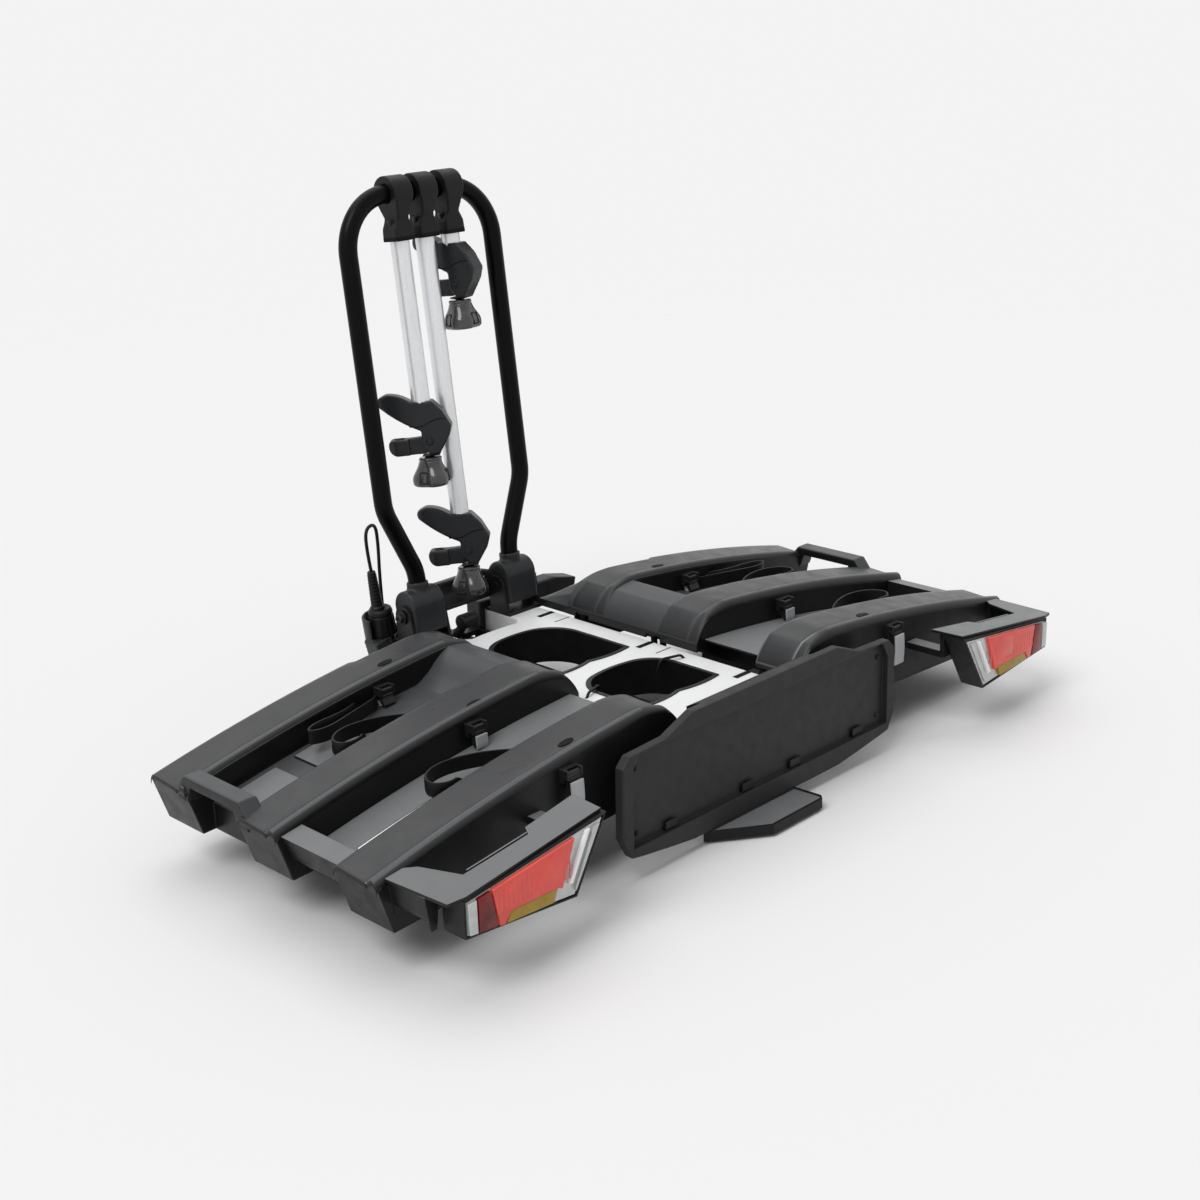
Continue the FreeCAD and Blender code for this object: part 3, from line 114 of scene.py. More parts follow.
def colourSpread(tree, place, base, spread, scale):
    cloud = addNode(tree, "ShaderNodeTexNoise", {"Scale": scale, "Detail": basis["cloudDetail"],
                                                 "Roughness": basis["cloudRough"]}, {"Vector": place})
    ramp = addNode(tree, "ShaderNodeValToRGB", links={"Fac": cloud.outputs["Fac"]})
    low, high = ramp.color_ramp.elements
    low.position = basis["cloudFrom"]
    high.position = basis["cloudTo"]
    low.color = [c * (1 - spread) for c in base] + [1]
    high.color = [min(1, c * (1 + spread)) for c in base] + [1]
    return ramp.outputs["Color"]


def paintedEdgeHighlight(tree, colour, radius, gain, tint):
    # painted highlight: a lighter line where the softened normal leaves the flat one, standing in for light
    # caught by rounded edges
    bevel = addNode(tree, "ShaderNodeBevel", {"Radius": radius}, samples=basis["edgeSamples"])
    soft = bevel.outputs["Normal"]
    flat = addNode(tree, "ShaderNodeNewGeometry").outputs["Normal"]
    dot = addNode(tree, "ShaderNodeVectorMath", links={0: soft, 1: flat}, operation="DOT_PRODUCT")
    fade = addNode(tree, "ShaderNodeMapRange", {"From Min": basis["edgeFrom"], "From Max": basis["edgeTo"],
                                                "To Max": gain}, {"Value": dot.outputs["Value"]})
    mix = addNode(tree, "ShaderNodeMix", data_type="RGBA", blend_type="MIX")
    tree.links.new(fade.outputs["Result"], mix.inputs["Factor"])
    tree.links.new(colour, mix.inputs["A"])
    mix.inputs["B"].default_value = (*tint, 1)
    return mix.outputs["Result"], soft


def paintedWallShade(tree, colour, least):
    # painted shade: upright and hanging faces, found by their normal, are made darker, standing in for the
    # shade they get under top light
    normal = addNode(tree, "ShaderNodeTexCoord").outputs["Normal"]
    parts = addNode(tree, "ShaderNodeSeparateXYZ", links={"Vector": normal})
    up = addNode(tree, "ShaderNodeMapRange", {"From Min": basis["wallFrom"], "From Max": basis["wallTo"],
                                              "To Min": least}, {"Value": parts.outputs["Z"]},
                 interpolation_type="SMOOTHSTEP")
    shaded = addNode(tree, "ShaderNodeVectorMath", links={"Vector": colour, "Scale": up.outputs["Result"]},
                     operation="SCALE")
    return shaded.outputs["Vector"]


def finishSurface(name, base, rough, spread=0.08, cloud=9.0, grain=1500.0, grainDeep=0.00005,
                  grainKind="noise", roughSpread=0.08, bevel=0.0012, edge=0.25, edgeHighlightTint=None, metal=0.0,
                  coat=0.0, coatRough=0.2, stretch=(1, 1, 1), specular=0.5, clear=0.0, wallShade=1.0):
    mat, tree, shader, place = startMaterial(name)
    mapped = addNode(tree, "ShaderNodeMapping", {"Scale": stretch}, {"Vector": place}).outputs["Vector"]
    colour = colourSpread(tree, mapped, base, spread, cloud)
    # the painted edge highlight's colour: given, or the base made lighter
    tint = edgeHighlightTint or [min(1, c * basis["tintGain"] + basis["tintLift"]) for c in base]
    colour, soft = paintedEdgeHighlight(tree, colour, bevel, edge, tint)
    # painted shade on upright and hanging faces
    if wallShade < 1.0:
        colour = paintedWallShade(tree, colour, wallShade)
    tree.links.new(colour, shader.inputs["Base Color"])
    patch = addNode(tree, "ShaderNodeTexNoise", {"Scale": cloud * basis["patchShare"],
                                                 "Detail": basis["patchDetail"]}, {"Vector": mapped})
    roughRange = {"From Min": basis["cloudFrom"], "From Max": basis["cloudTo"],
                  "To Min": rough - roughSpread, "To Max": rough + roughSpread}
    patchRough = addNode(tree, "ShaderNodeMapRange", roughRange, {"Value": patch.outputs["Fac"]})
    tree.links.new(patchRough.outputs["Result"], shader.inputs["Roughness"])
    if grainKind == "cells":
        fine = addNode(tree, "ShaderNodeTexVoronoi", {"Scale": grain}, {"Vector": mapped}).outputs["Distance"]
    else:
        fine = addNode(tree, "ShaderNodeTexNoise", {"Scale": grain, "Detail": basis["grainDetail"]},
                       {"Vector": mapped}).outputs["Fac"]
    bump = addNode(tree, "ShaderNodeBump", {"Strength": basis["grainStrength"], "Distance": grainDeep},
                   {"Height": fine, "Normal": soft})
    tree.links.new(bump.outputs["Normal"], shader.inputs["Normal"])
    for socket, value in (("Metallic", metal), ("Coat Weight", coat), ("Coat Roughness", coatRough),
                          ("Specular IOR Level", specular), ("Transmission Weight", clear),
                          ("IOR", basis["ior"])):
        shader.inputs[socket].default_value = value
    return mat


finishes = {
    "silverCoat": dict(base=(0.83, 0.835, 0.84), rough=0.4, spread=0.02, cloud=5, grain=2200,
                       grainDeep=0.00003, bevel=0.002, edge=0.1, metal=0.1, edgeHighlightTint=(0.9, 0.9, 0.91)),
    "glossBlackCoat": dict(base=(0.0025, 0.0025, 0.0027), rough=0.3, spread=0.2, cloud=4, grain=1300,
                           grainDeep=0.00002, bevel=0.001, edge=0.1, roughSpread=0.03, specular=0.1),
    "blackSteelCoat": dict(base=(0.009, 0.009, 0.0095), rough=0.38, spread=0.15, cloud=8, grain=1500,
                           edge=0.3, specular=0.3),
    "railPlastic": dict(base=(0.037, 0.038, 0.04), rough=0.34, spread=0.06, cloud=4, grain=1900,
                        grainDeep=0.00006, bevel=0.004, edge=0.5, specular=0.3, wallShade=0.1,
                        edgeHighlightTint=(0.1, 0.102, 0.105)),
    # the bead's lighter plastic is a painted highlight and the groove's near-black is painted shade
    "beadHighlightPlastic": dict(base=(0.075, 0.077, 0.08), rough=0.36, spread=0.06, cloud=4, grain=1900, edge=0.4,
                        specular=0.3, wallShade=0.1, edgeHighlightTint=(0.13, 0.132, 0.135)),
    "paintedGrooveShade": dict(base=(0.006, 0.006, 0.0065), rough=0.5, spread=0.1, cloud=8, grain=1700, edge=0.1,
                       specular=0.15),
    "shellPlastic": dict(base=(0.066, 0.068, 0.071), rough=0.36, spread=0.06, cloud=4, grain=1900,
                         grainDeep=0.00006, bevel=0.004, edge=0.5, specular=0.28, wallShade=0.1,
                         edgeHighlightTint=(0.12, 0.122, 0.125)),
    "trayPlastic": dict(base=(0.175, 0.179, 0.182), rough=0.42, spread=0.07, cloud=5, grain=1900,
                        bevel=0.002, edge=0.3, specular=0.25, wallShade=0.05),
    "coverPlastic": dict(base=(0.022, 0.023, 0.025), rough=0.4, spread=0.08, cloud=7, grain=1900,
                         bevel=0.003, edge=0.8, specular=0.3, edgeHighlightTint=(0.075, 0.077, 0.08)),
    "blackPlastic": dict(base=(0.0065, 0.0065, 0.007), rough=0.42, spread=0.15, cloud=7, grain=1700,
                         edge=0.5, specular=0.25, edgeHighlightTint=(0.03, 0.03, 0.03)),
    "plateBlack": dict(base=(0.022, 0.0223, 0.023), rough=0.5, spread=0.08, cloud=6, grain=1500, edge=0.5,
                       bevel=0.002, specular=0.25, edgeHighlightTint=(0.05, 0.05, 0.052)),
    "clawPlastic": dict(base=(0.012, 0.013, 0.015), rough=0.34, spread=0.15, cloud=18, grain=1800, edge=0.7,
                        bevel=0.0025, specular=0.35, edgeHighlightTint=(0.06, 0.063, 0.07)),
    "knobSmoke": dict(base=(0.06, 0.06, 0.064), rough=0.16, spread=0.3, cloud=30, grain=900,
                      grainDeep=0.00003, bevel=0.0015, edge=0.6, clear=0.4, coat=0.4, coatRough=0.1,
                      edgeHighlightTint=(0.4, 0.41, 0.42)),
    "brushedTube": dict(base=(0.85, 0.86, 0.875), rough=0.34, spread=0.05, cloud=14, grain=800,
                        grainDeep=0.00002, metal=0.6, stretch=(30, 30, 1), bevel=0.0006, edge=0.1),
    "strapRubber": dict(base=(0.006, 0.006, 0.0065), rough=0.5, spread=0.15, cloud=20, grain=1400, edge=0.8,
                        bevel=0.0008, edgeHighlightTint=(0.07, 0.07, 0.07), specular=0.25),
    "tongueGrey": dict(base=(0.42, 0.43, 0.44), rough=0.5, spread=0.08, cloud=25, grain=1500, edge=0.3),
    "bucklePlastic": dict(base=(0.012, 0.012, 0.013), rough=0.36, spread=0.1, cloud=20, grain=1700,
                          edge=0.7, bevel=0.0008, specular=0.3, edgeHighlightTint=(0.07, 0.07, 0.07)),
    "wheelRubber": dict(base=(0.012, 0.012, 0.012), rough=0.6, spread=0.2, cloud=25, grain=1200,
                        grainDeep=0.00012, edge=0.3, specular=0.25),
    "cableRubber": dict(base=(0.007, 0.007, 0.0075), rough=0.45, spread=0.15, cloud=30, grain=1600,
                        edge=0.4, bevel=0.0005, specular=0.25, edgeHighlightTint=(0.04, 0.04, 0.04)),
    "treadPlastic": dict(base=(0.165, 0.17, 0.175), rough=0.5, spread=0.06, cloud=10, grain=1700, edge=0.3,
                         specular=0.25, wallShade=0.25),
    "lampClear": dict(base=(0.5, 0.505, 0.51), rough=0.14, spread=0.1, cloud=60, grain=500,
                      grainDeep=0.0002, coat=0.4, coatRough=0.05, bevel=0.001, edge=0.6, metal=0.3,
                      grainKind="cells", edgeHighlightTint=(0.9, 0.9, 0.9)),
    # white of the lamps' light guide; the slit strips also use it as painted light
    "lampGlow": dict(base=(0.9, 0.9, 0.9), rough=0.2, spread=0.02, cloud=60, grain=500, coat=0.3,
                     coatRough=0.1, bevel=0.001, edge=0.1),
    "lampRed": dict(base=(0.78, 0.085, 0.065), rough=0.2, spread=0.12, cloud=30, grain=420,
                    grainDeep=0.0002, coat=0.2, coatRough=0.08, bevel=0.001, edge=0.4,
                    edgeHighlightTint=(0.98, 0.4, 0.34), grainKind="cells", specular=0.3),
    "lampDarkRed": dict(base=(0.16, 0.003, 0.004), rough=0.16, spread=0.5, cloud=45, grain=240,
                        grainDeep=0.0006, coat=0.3, coatRough=0.05, bevel=0.001, edge=0.6,
                        edgeHighlightTint=(0.6, 0.03, 0.03), grainKind="cells", specular=0.3),
    "lampAmber": dict(base=(0.36, 0.22, 0.015), rough=0.2, spread=0.2, cloud=50, grain=420,
                      grainDeep=0.0003, coat=0.2, coatRough=0.08, bevel=0.001, edge=0.5, grainKind="cells",
                      specular=0.3, edgeHighlightTint=(0.55, 0.4, 0.05)),
    "slotDark": dict(base=(0.003, 0.003, 0.003), rough=0.6, spread=0.2, cloud=30, grain=1500, edge=0.1,
                     specular=0.15),
}
surface = {name: finishSurface(name, **values) for name, values in finishes.items()}
print("materials made", len(surface))

# the corners of a bar's six faces
boxFaces = ((0, 1, 3, 2), (4, 6, 7, 5), (0, 4, 5, 1), (2, 3, 7, 6), (0, 2, 6, 4), (1, 5, 7, 3))


def addPiece(name, bm, mat, body, sharp=35, replaces=()):
    bmesh.ops.recalc_face_normals(bm, faces=bm.faces)
    mesh = bpy.data.meshes.new(name)
    bm.to_mesh(mesh)
    bm.free()
    mesh.materials.append(surface[mat])
    piece = bpy.data.objects.new(name, mesh)
    bpy.context.scene.collection.objects.link(piece)
    smoothByAngle(mesh, sharp)
    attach(piece, body)
    for one in replaces:
        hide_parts(one)
    return piece


def smoothByAngle(mesh, sharp):
    mesh.polygons.foreach_set("use_smooth", [True] * len(mesh.polygons))
    limit = math.radians(sharp)
    bm = bmesh.new()
    bm.from_mesh(mesh)
    for edge in bm.edges:
        edge.smooth = len(edge.link_faces) == 2 and edge.calc_face_angle(0) < limit
    bm.to_mesh(mesh)
    bm.free()


def bridge(bm, rings, closed=True):
    # quads from each ring of points to the next
    count = len(rings[0])
    faces = []
    for low, high in zip(rings, rings[1:]):
        for k in range(count if closed else count - 1):
            n = (k + 1) % count
            faces.append(bm.faces.new((low[k], low[n], high[n], high[k])))
    return faces


def addBand(bm, rows):
    # a closed band: its sides and both ends
    bridge(bm, rows)
    bm.faces.new(rows[0])
    bm.faces.new(rows[-1])


def addBar(bm, spots):
    # a six-sided bar over eight corners
    corners = [bm.verts.new(spot * mm) for spot in spots]
    for face in boxFaces:
        bm.faces.new([corners[k] for k in face])


def roundTurn(steps):
    turns = [2 * math.pi * k / steps for k in range(steps)]
    return [(math.cos(turn), math.sin(turn)) for turn in turns]


def prismMesh(outline, plane, low, high, bevel=0.0, segments=2, bm=None):
    bm = bm or bmesh.new()

    def at(a, b, level):
        spot = {"xz": (a, level, b), "xy": (a, b, level), "yz": (level, a, b)}[plane]
        return Vector(spot) * mm

    first = [bm.verts.new(at(a, b, low)) for a, b in outline]
    second = [bm.verts.new(at(a, b, high)) for a, b in outline]
    faces = [bm.faces.new(first[::-1]), bm.faces.new(second), *bridge(bm, (first, second))]
    if bevel:
        edges = list({edge for face in faces for edge in face.edges})
        bmesh.ops.bevel(bm, geom=edges, offset=bevel * mm, segments=segments, profile=0.6, affect="EDGES",
                        clamp_overlap=True)
    return bm


def latheMesh(profile, start, axis, steps=40, bm=None):
    bm = bm or bmesh.new()
    axis = Vector(axis).normalized()
    side = axis.orthogonal().normalized()
    other = axis.cross(side)
    start = Vector(start)
    rings = [[bm.verts.new((start + axis * along + (side * c + other * s) * radius) * mm)
              for c, s in roundTurn(steps)] for radius, along in profile]
    bridge(bm, rings)
    bm.faces.new(rings[0][::-1])
    bm.faces.new(rings[-1])
    return bm


def flip(points, sign):
    return [(sign * a, b) for a, b in points]


def dress(mat, *names):
    for name in names:
        item = frame["nodes"][name]
        if not item.material_slots:
            item.data.materials.append(surface[mat])
        for slotItem in item.material_slots:
            slotItem.material = surface[mat]


# CAD pieces that keep their shape
dress("silverCoat", "chassis_frame")
dress("blackPlastic", "chassis_liner", "plate_carrier", "plate_clips", "pedal_rim")
dress("plateBlack", "plate_holder")
dress("blackSteelCoat", "spine_beam", "rear_feet", "hinge_hardware", "hoop_brackets", "wheel_carrier",
      "coupling_housing", "clamp_jaw")
dress("wheelRubber", "foot_pads")
dress("glossBlackCoat", "hoop_tube")
dress("treadPlastic", "foot_pedal")
for letter in "abc":
    dress("brushedTube", "arm_tube_" + letter)
for side, sign in sides:
    dress("shellPlastic", "platform_shell_" + side)
    dress("trayPlastic", "rear_tray_" + side)
    dress("blackSteelCoat", "wing_frame_" + side)
    dress("blackPlastic", "lamp_housing_" + side)
    dress("bucklePlastic", "buckle_bases_" + side, *("buckle_lever_%d_%s" % (k, side) for k in (1, 2, 3)))
print("kept pieces dressed")

# castings and moulded grips, smoothed from the CAD solid: name, finish, slot, voxel in mm, rounds
castings = {
    "hoop_base": ("hoopCasting", "coverPlastic", "cover_plastic", 1.8, 3),
    "arm_head_": ("armHead", "blackPlastic", "black_plastic", 1.2, 2),
    "claw_body_": ("clawJaw", "clawPlastic", "claw_plastic", 1.2, 9),
    "claw_finger_": ("clawFinger", "clawPlastic", "claw_plastic", 1.0, 6),
    "car_side_cover": ("carSideCover", "coverPlastic", "cover_plastic", 1.6, 2),
    "clamp_lever": ("clampLever", "blackSteelCoat", "black_steel", 1.2, 3),
}


def sculpt(node, name, mat, slot, voxel, rounds):
    source = frame["nodes"][node]
    rough = bpy.data.objects.new(name + "Rough", source.data.copy())
    bpy.context.scene.collection.objects.link(rough)
    grid = rough.modifiers.new("grid", "REMESH")
    grid.mode = "VOXEL"
    grid.voxel_size = voxel * mm
    evaluated = rough.evaluated_get(bpy.context.evaluated_depsgraph_get())
    bm = bmesh.new()
    bm.from_mesh(bpy.data.meshes.new_from_object(evaluated))
    bpy.data.objects.remove(rough)
    for _ in range(rounds):
        bmesh.ops.smooth_vert(bm, verts=bm.verts, factor=0.5, use_axis_x=True, use_axis_y=True,
                              use_axis_z=True)
    addPiece(name, bm, mat, source["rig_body"], sharp=60, replaces=(node,))


for node, (name, *values) in castings.items():
    for letter in "abc" if node.endswith("_") else ("",):    # one on each arm
        sculpt(node + letter, name + letter.upper(), *values)
print("castings smoothed")

# wheel rails: a crowned skin with a bead along the near edge
rail = {"far": 183.0, "pitch": 190.0, "wide": 79.0, "inner": ((121.0, 151.0), (133.0, 171.0), (151.0, 187.0)),
        "crest": ((151.0, 187.0), (176.0, 191.8), (200.0, 193.0)), "mid": (414.5, 167.1), "tip": (629.0, 124.0)}
# bead and groove count the strips of the skin's shape, from its near edge
skin = {"proud": 0.9, "thick": 0.8, "start": 122.0, "step": 0.5, "growth": 1.4, "close": 23, "open": 40,
        "between": (172, 180, 190), "lip": ((0.5, -1.2), (0.7, -5.0)), "liftRun": 60.0, "cornerEnd": 300.0,
        "cornerFrom": 66.0, "cornerFall": 0.62, "beadStart": 25, "bead": range(3, 6), "groove": range(7, 10)}
# across the skin: distance from the rail's near edge, height over its top
skinShape = ((0.0, -6.5), (0.6, -2.2), (2.2, 1.8), (4.6, 4.6), (7.8, 6.0), (11.0, 5.7), (13.8, 4.0),
             (16.0, 1.6), (17.4, -0.6), (18.5, -1.9), (20.0, -1.4), (22.5, -0.3), (28.0, 0.4), (40.0, 1.0),
             (54.0, 2.0), (66.0, 2.9), (71.5, 2.9), (75.0, 1.7), (77.5, -1.3), (79.0, -6.0))
nearEdge = [rail["far"] - rail["pitch"] * k - rail["wide"] for k in range(3)]
farEdge = [rail["far"] - rail["pitch"] * k for k in range(3)]


def arcHeight(x, points):
    # height of the circle through three points, on its upper side
    (ax, az), (bx, bz), (cx, cz) = points
    a, b, c = (px * px + pz * pz for px, pz in points)
    d = 2 * (ax * (bz - cz) + bx * (cz - az) + cx * (az - bz))
    ux = (a * (bz - cz) + b * (cz - az) + c * (az - bz)) / d
    uz = (a * (cx - bx) + b * (ax - cx) + c * (bx - ax)) / d
    radius = math.hypot(ax - ux, az - uz)
    return uz + math.sqrt(max(0, radius ** 2 - (x - ux) ** 2))


def railTop(x):
    # a round inner end, a crest, then a long shallow arc down to the tip
    if x < rail["crest"][0][0]:
        return arcHeight(x, rail["inner"])
    if x < rail["crest"][-1][0]:
        return arcHeight(x, rail["crest"])
    (sx, sz), (mx, mz), (ex, ez) = rail["crest"][-1], rail["mid"], rail["tip"]
    chord = sz + (ez - sz) * (x - sx) / (ex - sx)
    return chord + (mz - (sz + ez) / 2) * (1 - ((x - mx) / (mx - sx)) ** 2)


def skinStations():
    # places along the rail, close together on the round inner end, and how far each one drops
    shoulder, tip = rail["crest"][-1][0], rail["tip"][0]
    places = [skin["start"] + skin["step"] * k ** skin["growth"] for k in range(skin["close"])]
    places += skin["between"]
    places += [shoulder + (tip - shoulder) * k / skin["open"] for k in range(skin["open"] + 1)]
    return [(x, 0.0) for x in places] + [(tip + out, drop) for out, drop in skin["lip"]]


def railSkin(index, side, sign):
    bm = bmesh.new()
    rows = []
    for x, drop in skinStations():
        lift = min(1.0, max(0.0, (x - rail["inner"][0][0]) / skin["liftRun"]))
        top = railTop(min(x, rail["tip"][0]))
        row = []
        for y, z in skinShape:
            height = z * (lift if z > 0 else 1.0) + drop + skin["proud"]
            if index == 0 and x < skin["cornerEnd"] and y > skin["cornerFrom"]:
                # here the crest runs into the flared corner
                height = skin["proud"] - (y - skin["cornerFrom"]) * skin["cornerFall"]
            row.append(bm.verts.new(Vector((sign * x, nearEdge[index] + y, top + height)) * mm))
        rows.append(row)
    bridge(bm, rows, closed=False)
    piece = addPiece("railSkin%d_%s" % (index + 1, side), bm, "railPlastic", "wing_" + side, sharp=50)
    piece.data.materials.append(surface["beadHighlightPlastic"])
    piece.data.materials.append(surface["paintedGrooveShade"])
    for face in piece.data.polygons:    # painted highlight on the bead, painted shade in the groove
        station, row = divmod(face.index, len(skinShape) - 1)
        if station >= skin["beadStart"]:
            face.material_index = 1 if row in skin["bead"] else 2 if row in skin["groove"] else 0
    wall = piece.modifiers.new("thickness", "SOLIDIFY")
    wall.thickness = skin["thick"] * mm
    wall.offset = -1


for side, sign in sides:
    for index in range(3):
        railSkin(index, side, sign)
print("rail skins laid")

# straps: ribbed rubber bands on edge, their route is the one in the CAD
strap = {"thick": 2.2, "wide": 19.6, "pitch": 3.2, "rib": 0.7, "plainEnd": 8, "tipSteps": 6.0,
         "tipShare": 0.45, "railAt": 390, "underTop": 27, "lift": 0.2,
         "section": ((1, 0, -1), (1, 0, -0.86), (1, 1, -0.8), (1, 1, 0.8), (1, 0, 0.86), (1, 0, 1),
                     (-1, 0, 1), (-1, 0, -1))}    # face, rib, share of half the width
strapRoutes = (
    ((326, nearEdge[0] - 6.4), (340, nearEdge[0] - 14.4), (390, 74), (436, 58), (466, 68), (440, 84),
     (395, 86), (354, nearEdge[0] - 2.4)),
    ((327, farEdge[1] + 2.4), (344, 20), (385, 42), (428, 44), (458, 26), (460, 4), (438, -3), (412, 12)),
    ((318, farEdge[2] + 2.4), (330, -172), (366, -148), (412, -136), (450, -148), (464, -176), (444, -191),
     (420, -184)),
)


def smoothRoute(points, rounds=4):
    # each round cuts a quarter off both ends of every stretch
    points = [Vector(p) for p in points]
    for _ in range(rounds):
        cut = [points[0]]
        for a, b in zip(points, points[1:]):
            cut += [a * 0.75 + b * 0.25, a * 0.25 + b * 0.75]
        cut.append(points[-1])
        points = cut
    return points


def evenly(points, step):
    # the same route in equal steps
    out = [points[0]]
    left = step
    for a, b in zip(points, points[1:]):
        run = (b - a).length
        while run >= left:
            a = a + (b - a) * (left / run)
            out.append(a)
            run = (b - a).length
            left = step
        left -= run
    return out


def strapBand(name, route, low, body, sign):
    points = evenly(smoothRoute([(x, y, 0) for x, y in route]), strap["pitch"] / 2)
    half = strap["thick"] / 2
    middle = low + strap["wide"] / 2
    last = len(points) - 1
    bm = bmesh.new()
    rows = []
    for k, spot in enumerate(points):
        way = (points[min(last, k + 1)] - points[max(0, k - 1)]).normalized()
        out = Vector((-way.y, way.x, 0))
        rib = strap["rib"] if k % 2 and k <= last - strap["plainEnd"] else 0.0
        tip = min(1.0, strap["tipShare"] + (1 - strap["tipShare"]) * (last - k) / strap["tipSteps"])
        reach = strap["wide"] / 2 * tip
        ring = []
        for face, ribbed, level in strap["section"]:
            at = spot + out * (face * half + ribbed * rib)
            ring.append(bm.verts.new(Vector((sign * at.x, at.y, middle + reach * level)) * mm))
        rows.append(ring)
    addBand(bm, rows)
    return addPiece(name, bm, "strapRubber", body, sharp=40)


strapLow = railTop(strap["railAt"]) - strap["underTop"] + strap["lift"]
for side, sign in sides:
    first = None
    for index, route in enumerate(strapRoutes):
        piece = strapBand("strap%d_%s" % (index + 1, side), route, strapLow, "wing_" + side, sign)
        first = first or piece
    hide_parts("wheel_straps_" + side)
print("straps laid")

# buckles: thumb ribs on the lever and the grey tongue that hangs from the buckle
buckle = {"x": (312.0, 315.0, 331.0), "under": 10, "ribs": 3, "ribHalf": 8.5, "ribStep": (0.4, 3.4),
          "rib": ((14.6, 8), (15.6, 9.2), (14.2, 10.4))}
# the tongue's routes give out, down and share of its length; its section gives share of half, face, rib
tongue = {"long": (8.0, 14.0, 40.0), "half": (9.5, 9.5, 10.5), "thick": 1.1, "rib": 0.5, "pitch": 1.6,
          "behind": ((3.2, 12, 0), (3.4, 18, 0), (5.5, 18, 0.45), (8.5, 18, 1)),
          "before": ((17.6, 13, 0), (18.2, 20, 0), (19.0, 18, 0.5), (17.6, 18, 1)),
          "section": ((-1, 1, 0), (1, 1, 0), (1, -1, 0), (0.8, -1, 1), (-0.8, -1, 1), (-1, -1, 0))}


def buckleSpot(index):
    return buckle["x"][index], nearEdge[index], railTop(buckle["x"][index]) - buckle["under"]


def tongueBand(index, side, sign):
    x, y, z = buckleSpot(index)
    if index:    # these hang before their lever and move with it
        path, body = tongue["before"], "buckle_%d_%s" % (index + 1, side)
    else:
        path, body = tongue["behind"], "wing_" + side
    points = [(0, y - out, z - down - tongue["long"][index] * share) for out, down, share in path]
    half, thick = tongue["half"][index], tongue["thick"]
    bm = bmesh.new()
    rows = []
    for k, spot in enumerate(evenly(smoothRoute(points, 3), tongue["pitch"])):
        rib = tongue["rib"] if k % 2 else 0.0
        corners = [(share * half, face * thick - ribbed * rib) for share, face, ribbed in tongue["section"]]
        rows.append([bm.verts.new(Vector((sign * (x + a), spot.y + b, spot.z)) * mm) for a, b in corners])
    addBand(bm, rows)
    addPiece("tongue%d_%s" % (index + 1, side), bm, "tongueGrey", body, sharp=40)


def leverRibs(index, side, sign):
    x, y, z = buckleSpot(index)
    bm = bmesh.new()
    for step in range(buckle["ribs"]):
        back, down = (step * move for move in buckle["ribStep"])
        prismMesh([(y - a + back, z - b - down) for a, b in buckle["rib"]], "yz",
                  sign * x - buckle["ribHalf"], sign * x + buckle["ribHalf"], bm=bm)
    addPiece("leverRibs%d_%s" % (index + 1, side), bm, "bucklePlastic", "buckle_%d_%s" % (index + 1, side))


for side, sign in sides:
    for index in range(3):
        tongueBand(index, side, sign)
        leverRibs(index, side, sign)
print("buckles finished")

# lamps: clear body, red and amber sections, light guide; outline from behind, back, front, bevel
lampCuts = {
    "lampBody": ("lampClear", [(588.5, 86), (588.5, 126.5), (375.5, 152.5), (424, 71)], -349.5, -379.5, 1.5),
    "lampRed": ("lampRed", [(425, 145.5), (553, 130), (544, 82), (536, 81), (528, 95.5), (455, 94),
                            (447, 89)], -378.5, -384.4, 1.2),
    "lampRedInner": ("lampRed", [(437, 139), (492, 132.5), (492, 103), (452, 103)], -384.0, -384.8, 0.4),
    "lampAmber": ("lampAmber", [(454.5, 92.5), (527, 94), (534, 81), (461, 76.5)], -378.5, -384.0, 1.0),
    "lampDark": ("lampDarkRed", [(555, 129.5), (574, 127), (574, 86), (547, 83)], -378.5, -384.2, 1.2),
    "lampOuter": ("lampClear", [(576, 126.8), (588, 125.6), (588, 87.5), (576, 86)], -378.5, -384.0, 1.0),
    "lampGuide": ("lampGlow", [(399, 147.5), (405, 147), (436, 90), (430, 89)], -378.5, -384.0, 1.0),
    "lampEnd": ("lampClear", [(382, 148), (392, 147), (424, 81), (424, 76)], -378.5, -382.5, 0.8),
}
lampSide = {"outline": [(590, 88), (590, 126), (587, 127), (587, 87)], "front": -376, "back": -352,
            "bevel": 0.8}
# upright flutes that catch the light: low end, high end, how much the high end falls with each mm outwards
flutes = {"lampRed": (98, 139.5, 0.12), "lampAmber": (83, 89, 0.0)}
flute = {"pitch": 7, "start": 10, "half": 0.7, "proud": 0.35, "sunk": 1.0, "bevel": 0.2, "least": 3}


def addFlutes(bm, points, front, sign, low, high, fall):
    start = min(x for x, z in points)
    run = max(x for x, z in points) - start
    for k in range(int(run / flute["pitch"]) - 1):
        out = flute["start"] + k * flute["pitch"]
        x, top = sign * (start + out), high - fall * out
        if top - low > flute["least"]:
            prismMesh([(x - flute["half"], low), (x + flute["half"], low), (x + flute["half"], top),
                       (x - flute["half"], top)], "xz", front - flute["proud"], front + flute["sunk"],
                      flute["bevel"], 1, bm)


for side, sign in sides:
    body = "wing_" + side
    for name, (mat, points, back, front, bevel) in lampCuts.items():
        bm = prismMesh(flip(points, sign), "xz", front, back, bevel)
        if name in flutes:
            addFlutes(bm, points, front, sign, *flutes[name])
        piece = addPiece("%s_%s" % (name, side), bm, mat, body, sharp=30)
        if name == "lampBody":
            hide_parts("lamp_lens_" + side)
    bm = prismMesh(flip(lampSide["outline"], sign), "xz", lampSide["front"], lampSide["back"],
                   lampSide["bevel"])
    addPiece("lampSide_" + side, bm, "lampClear", body)
print("lamps built")

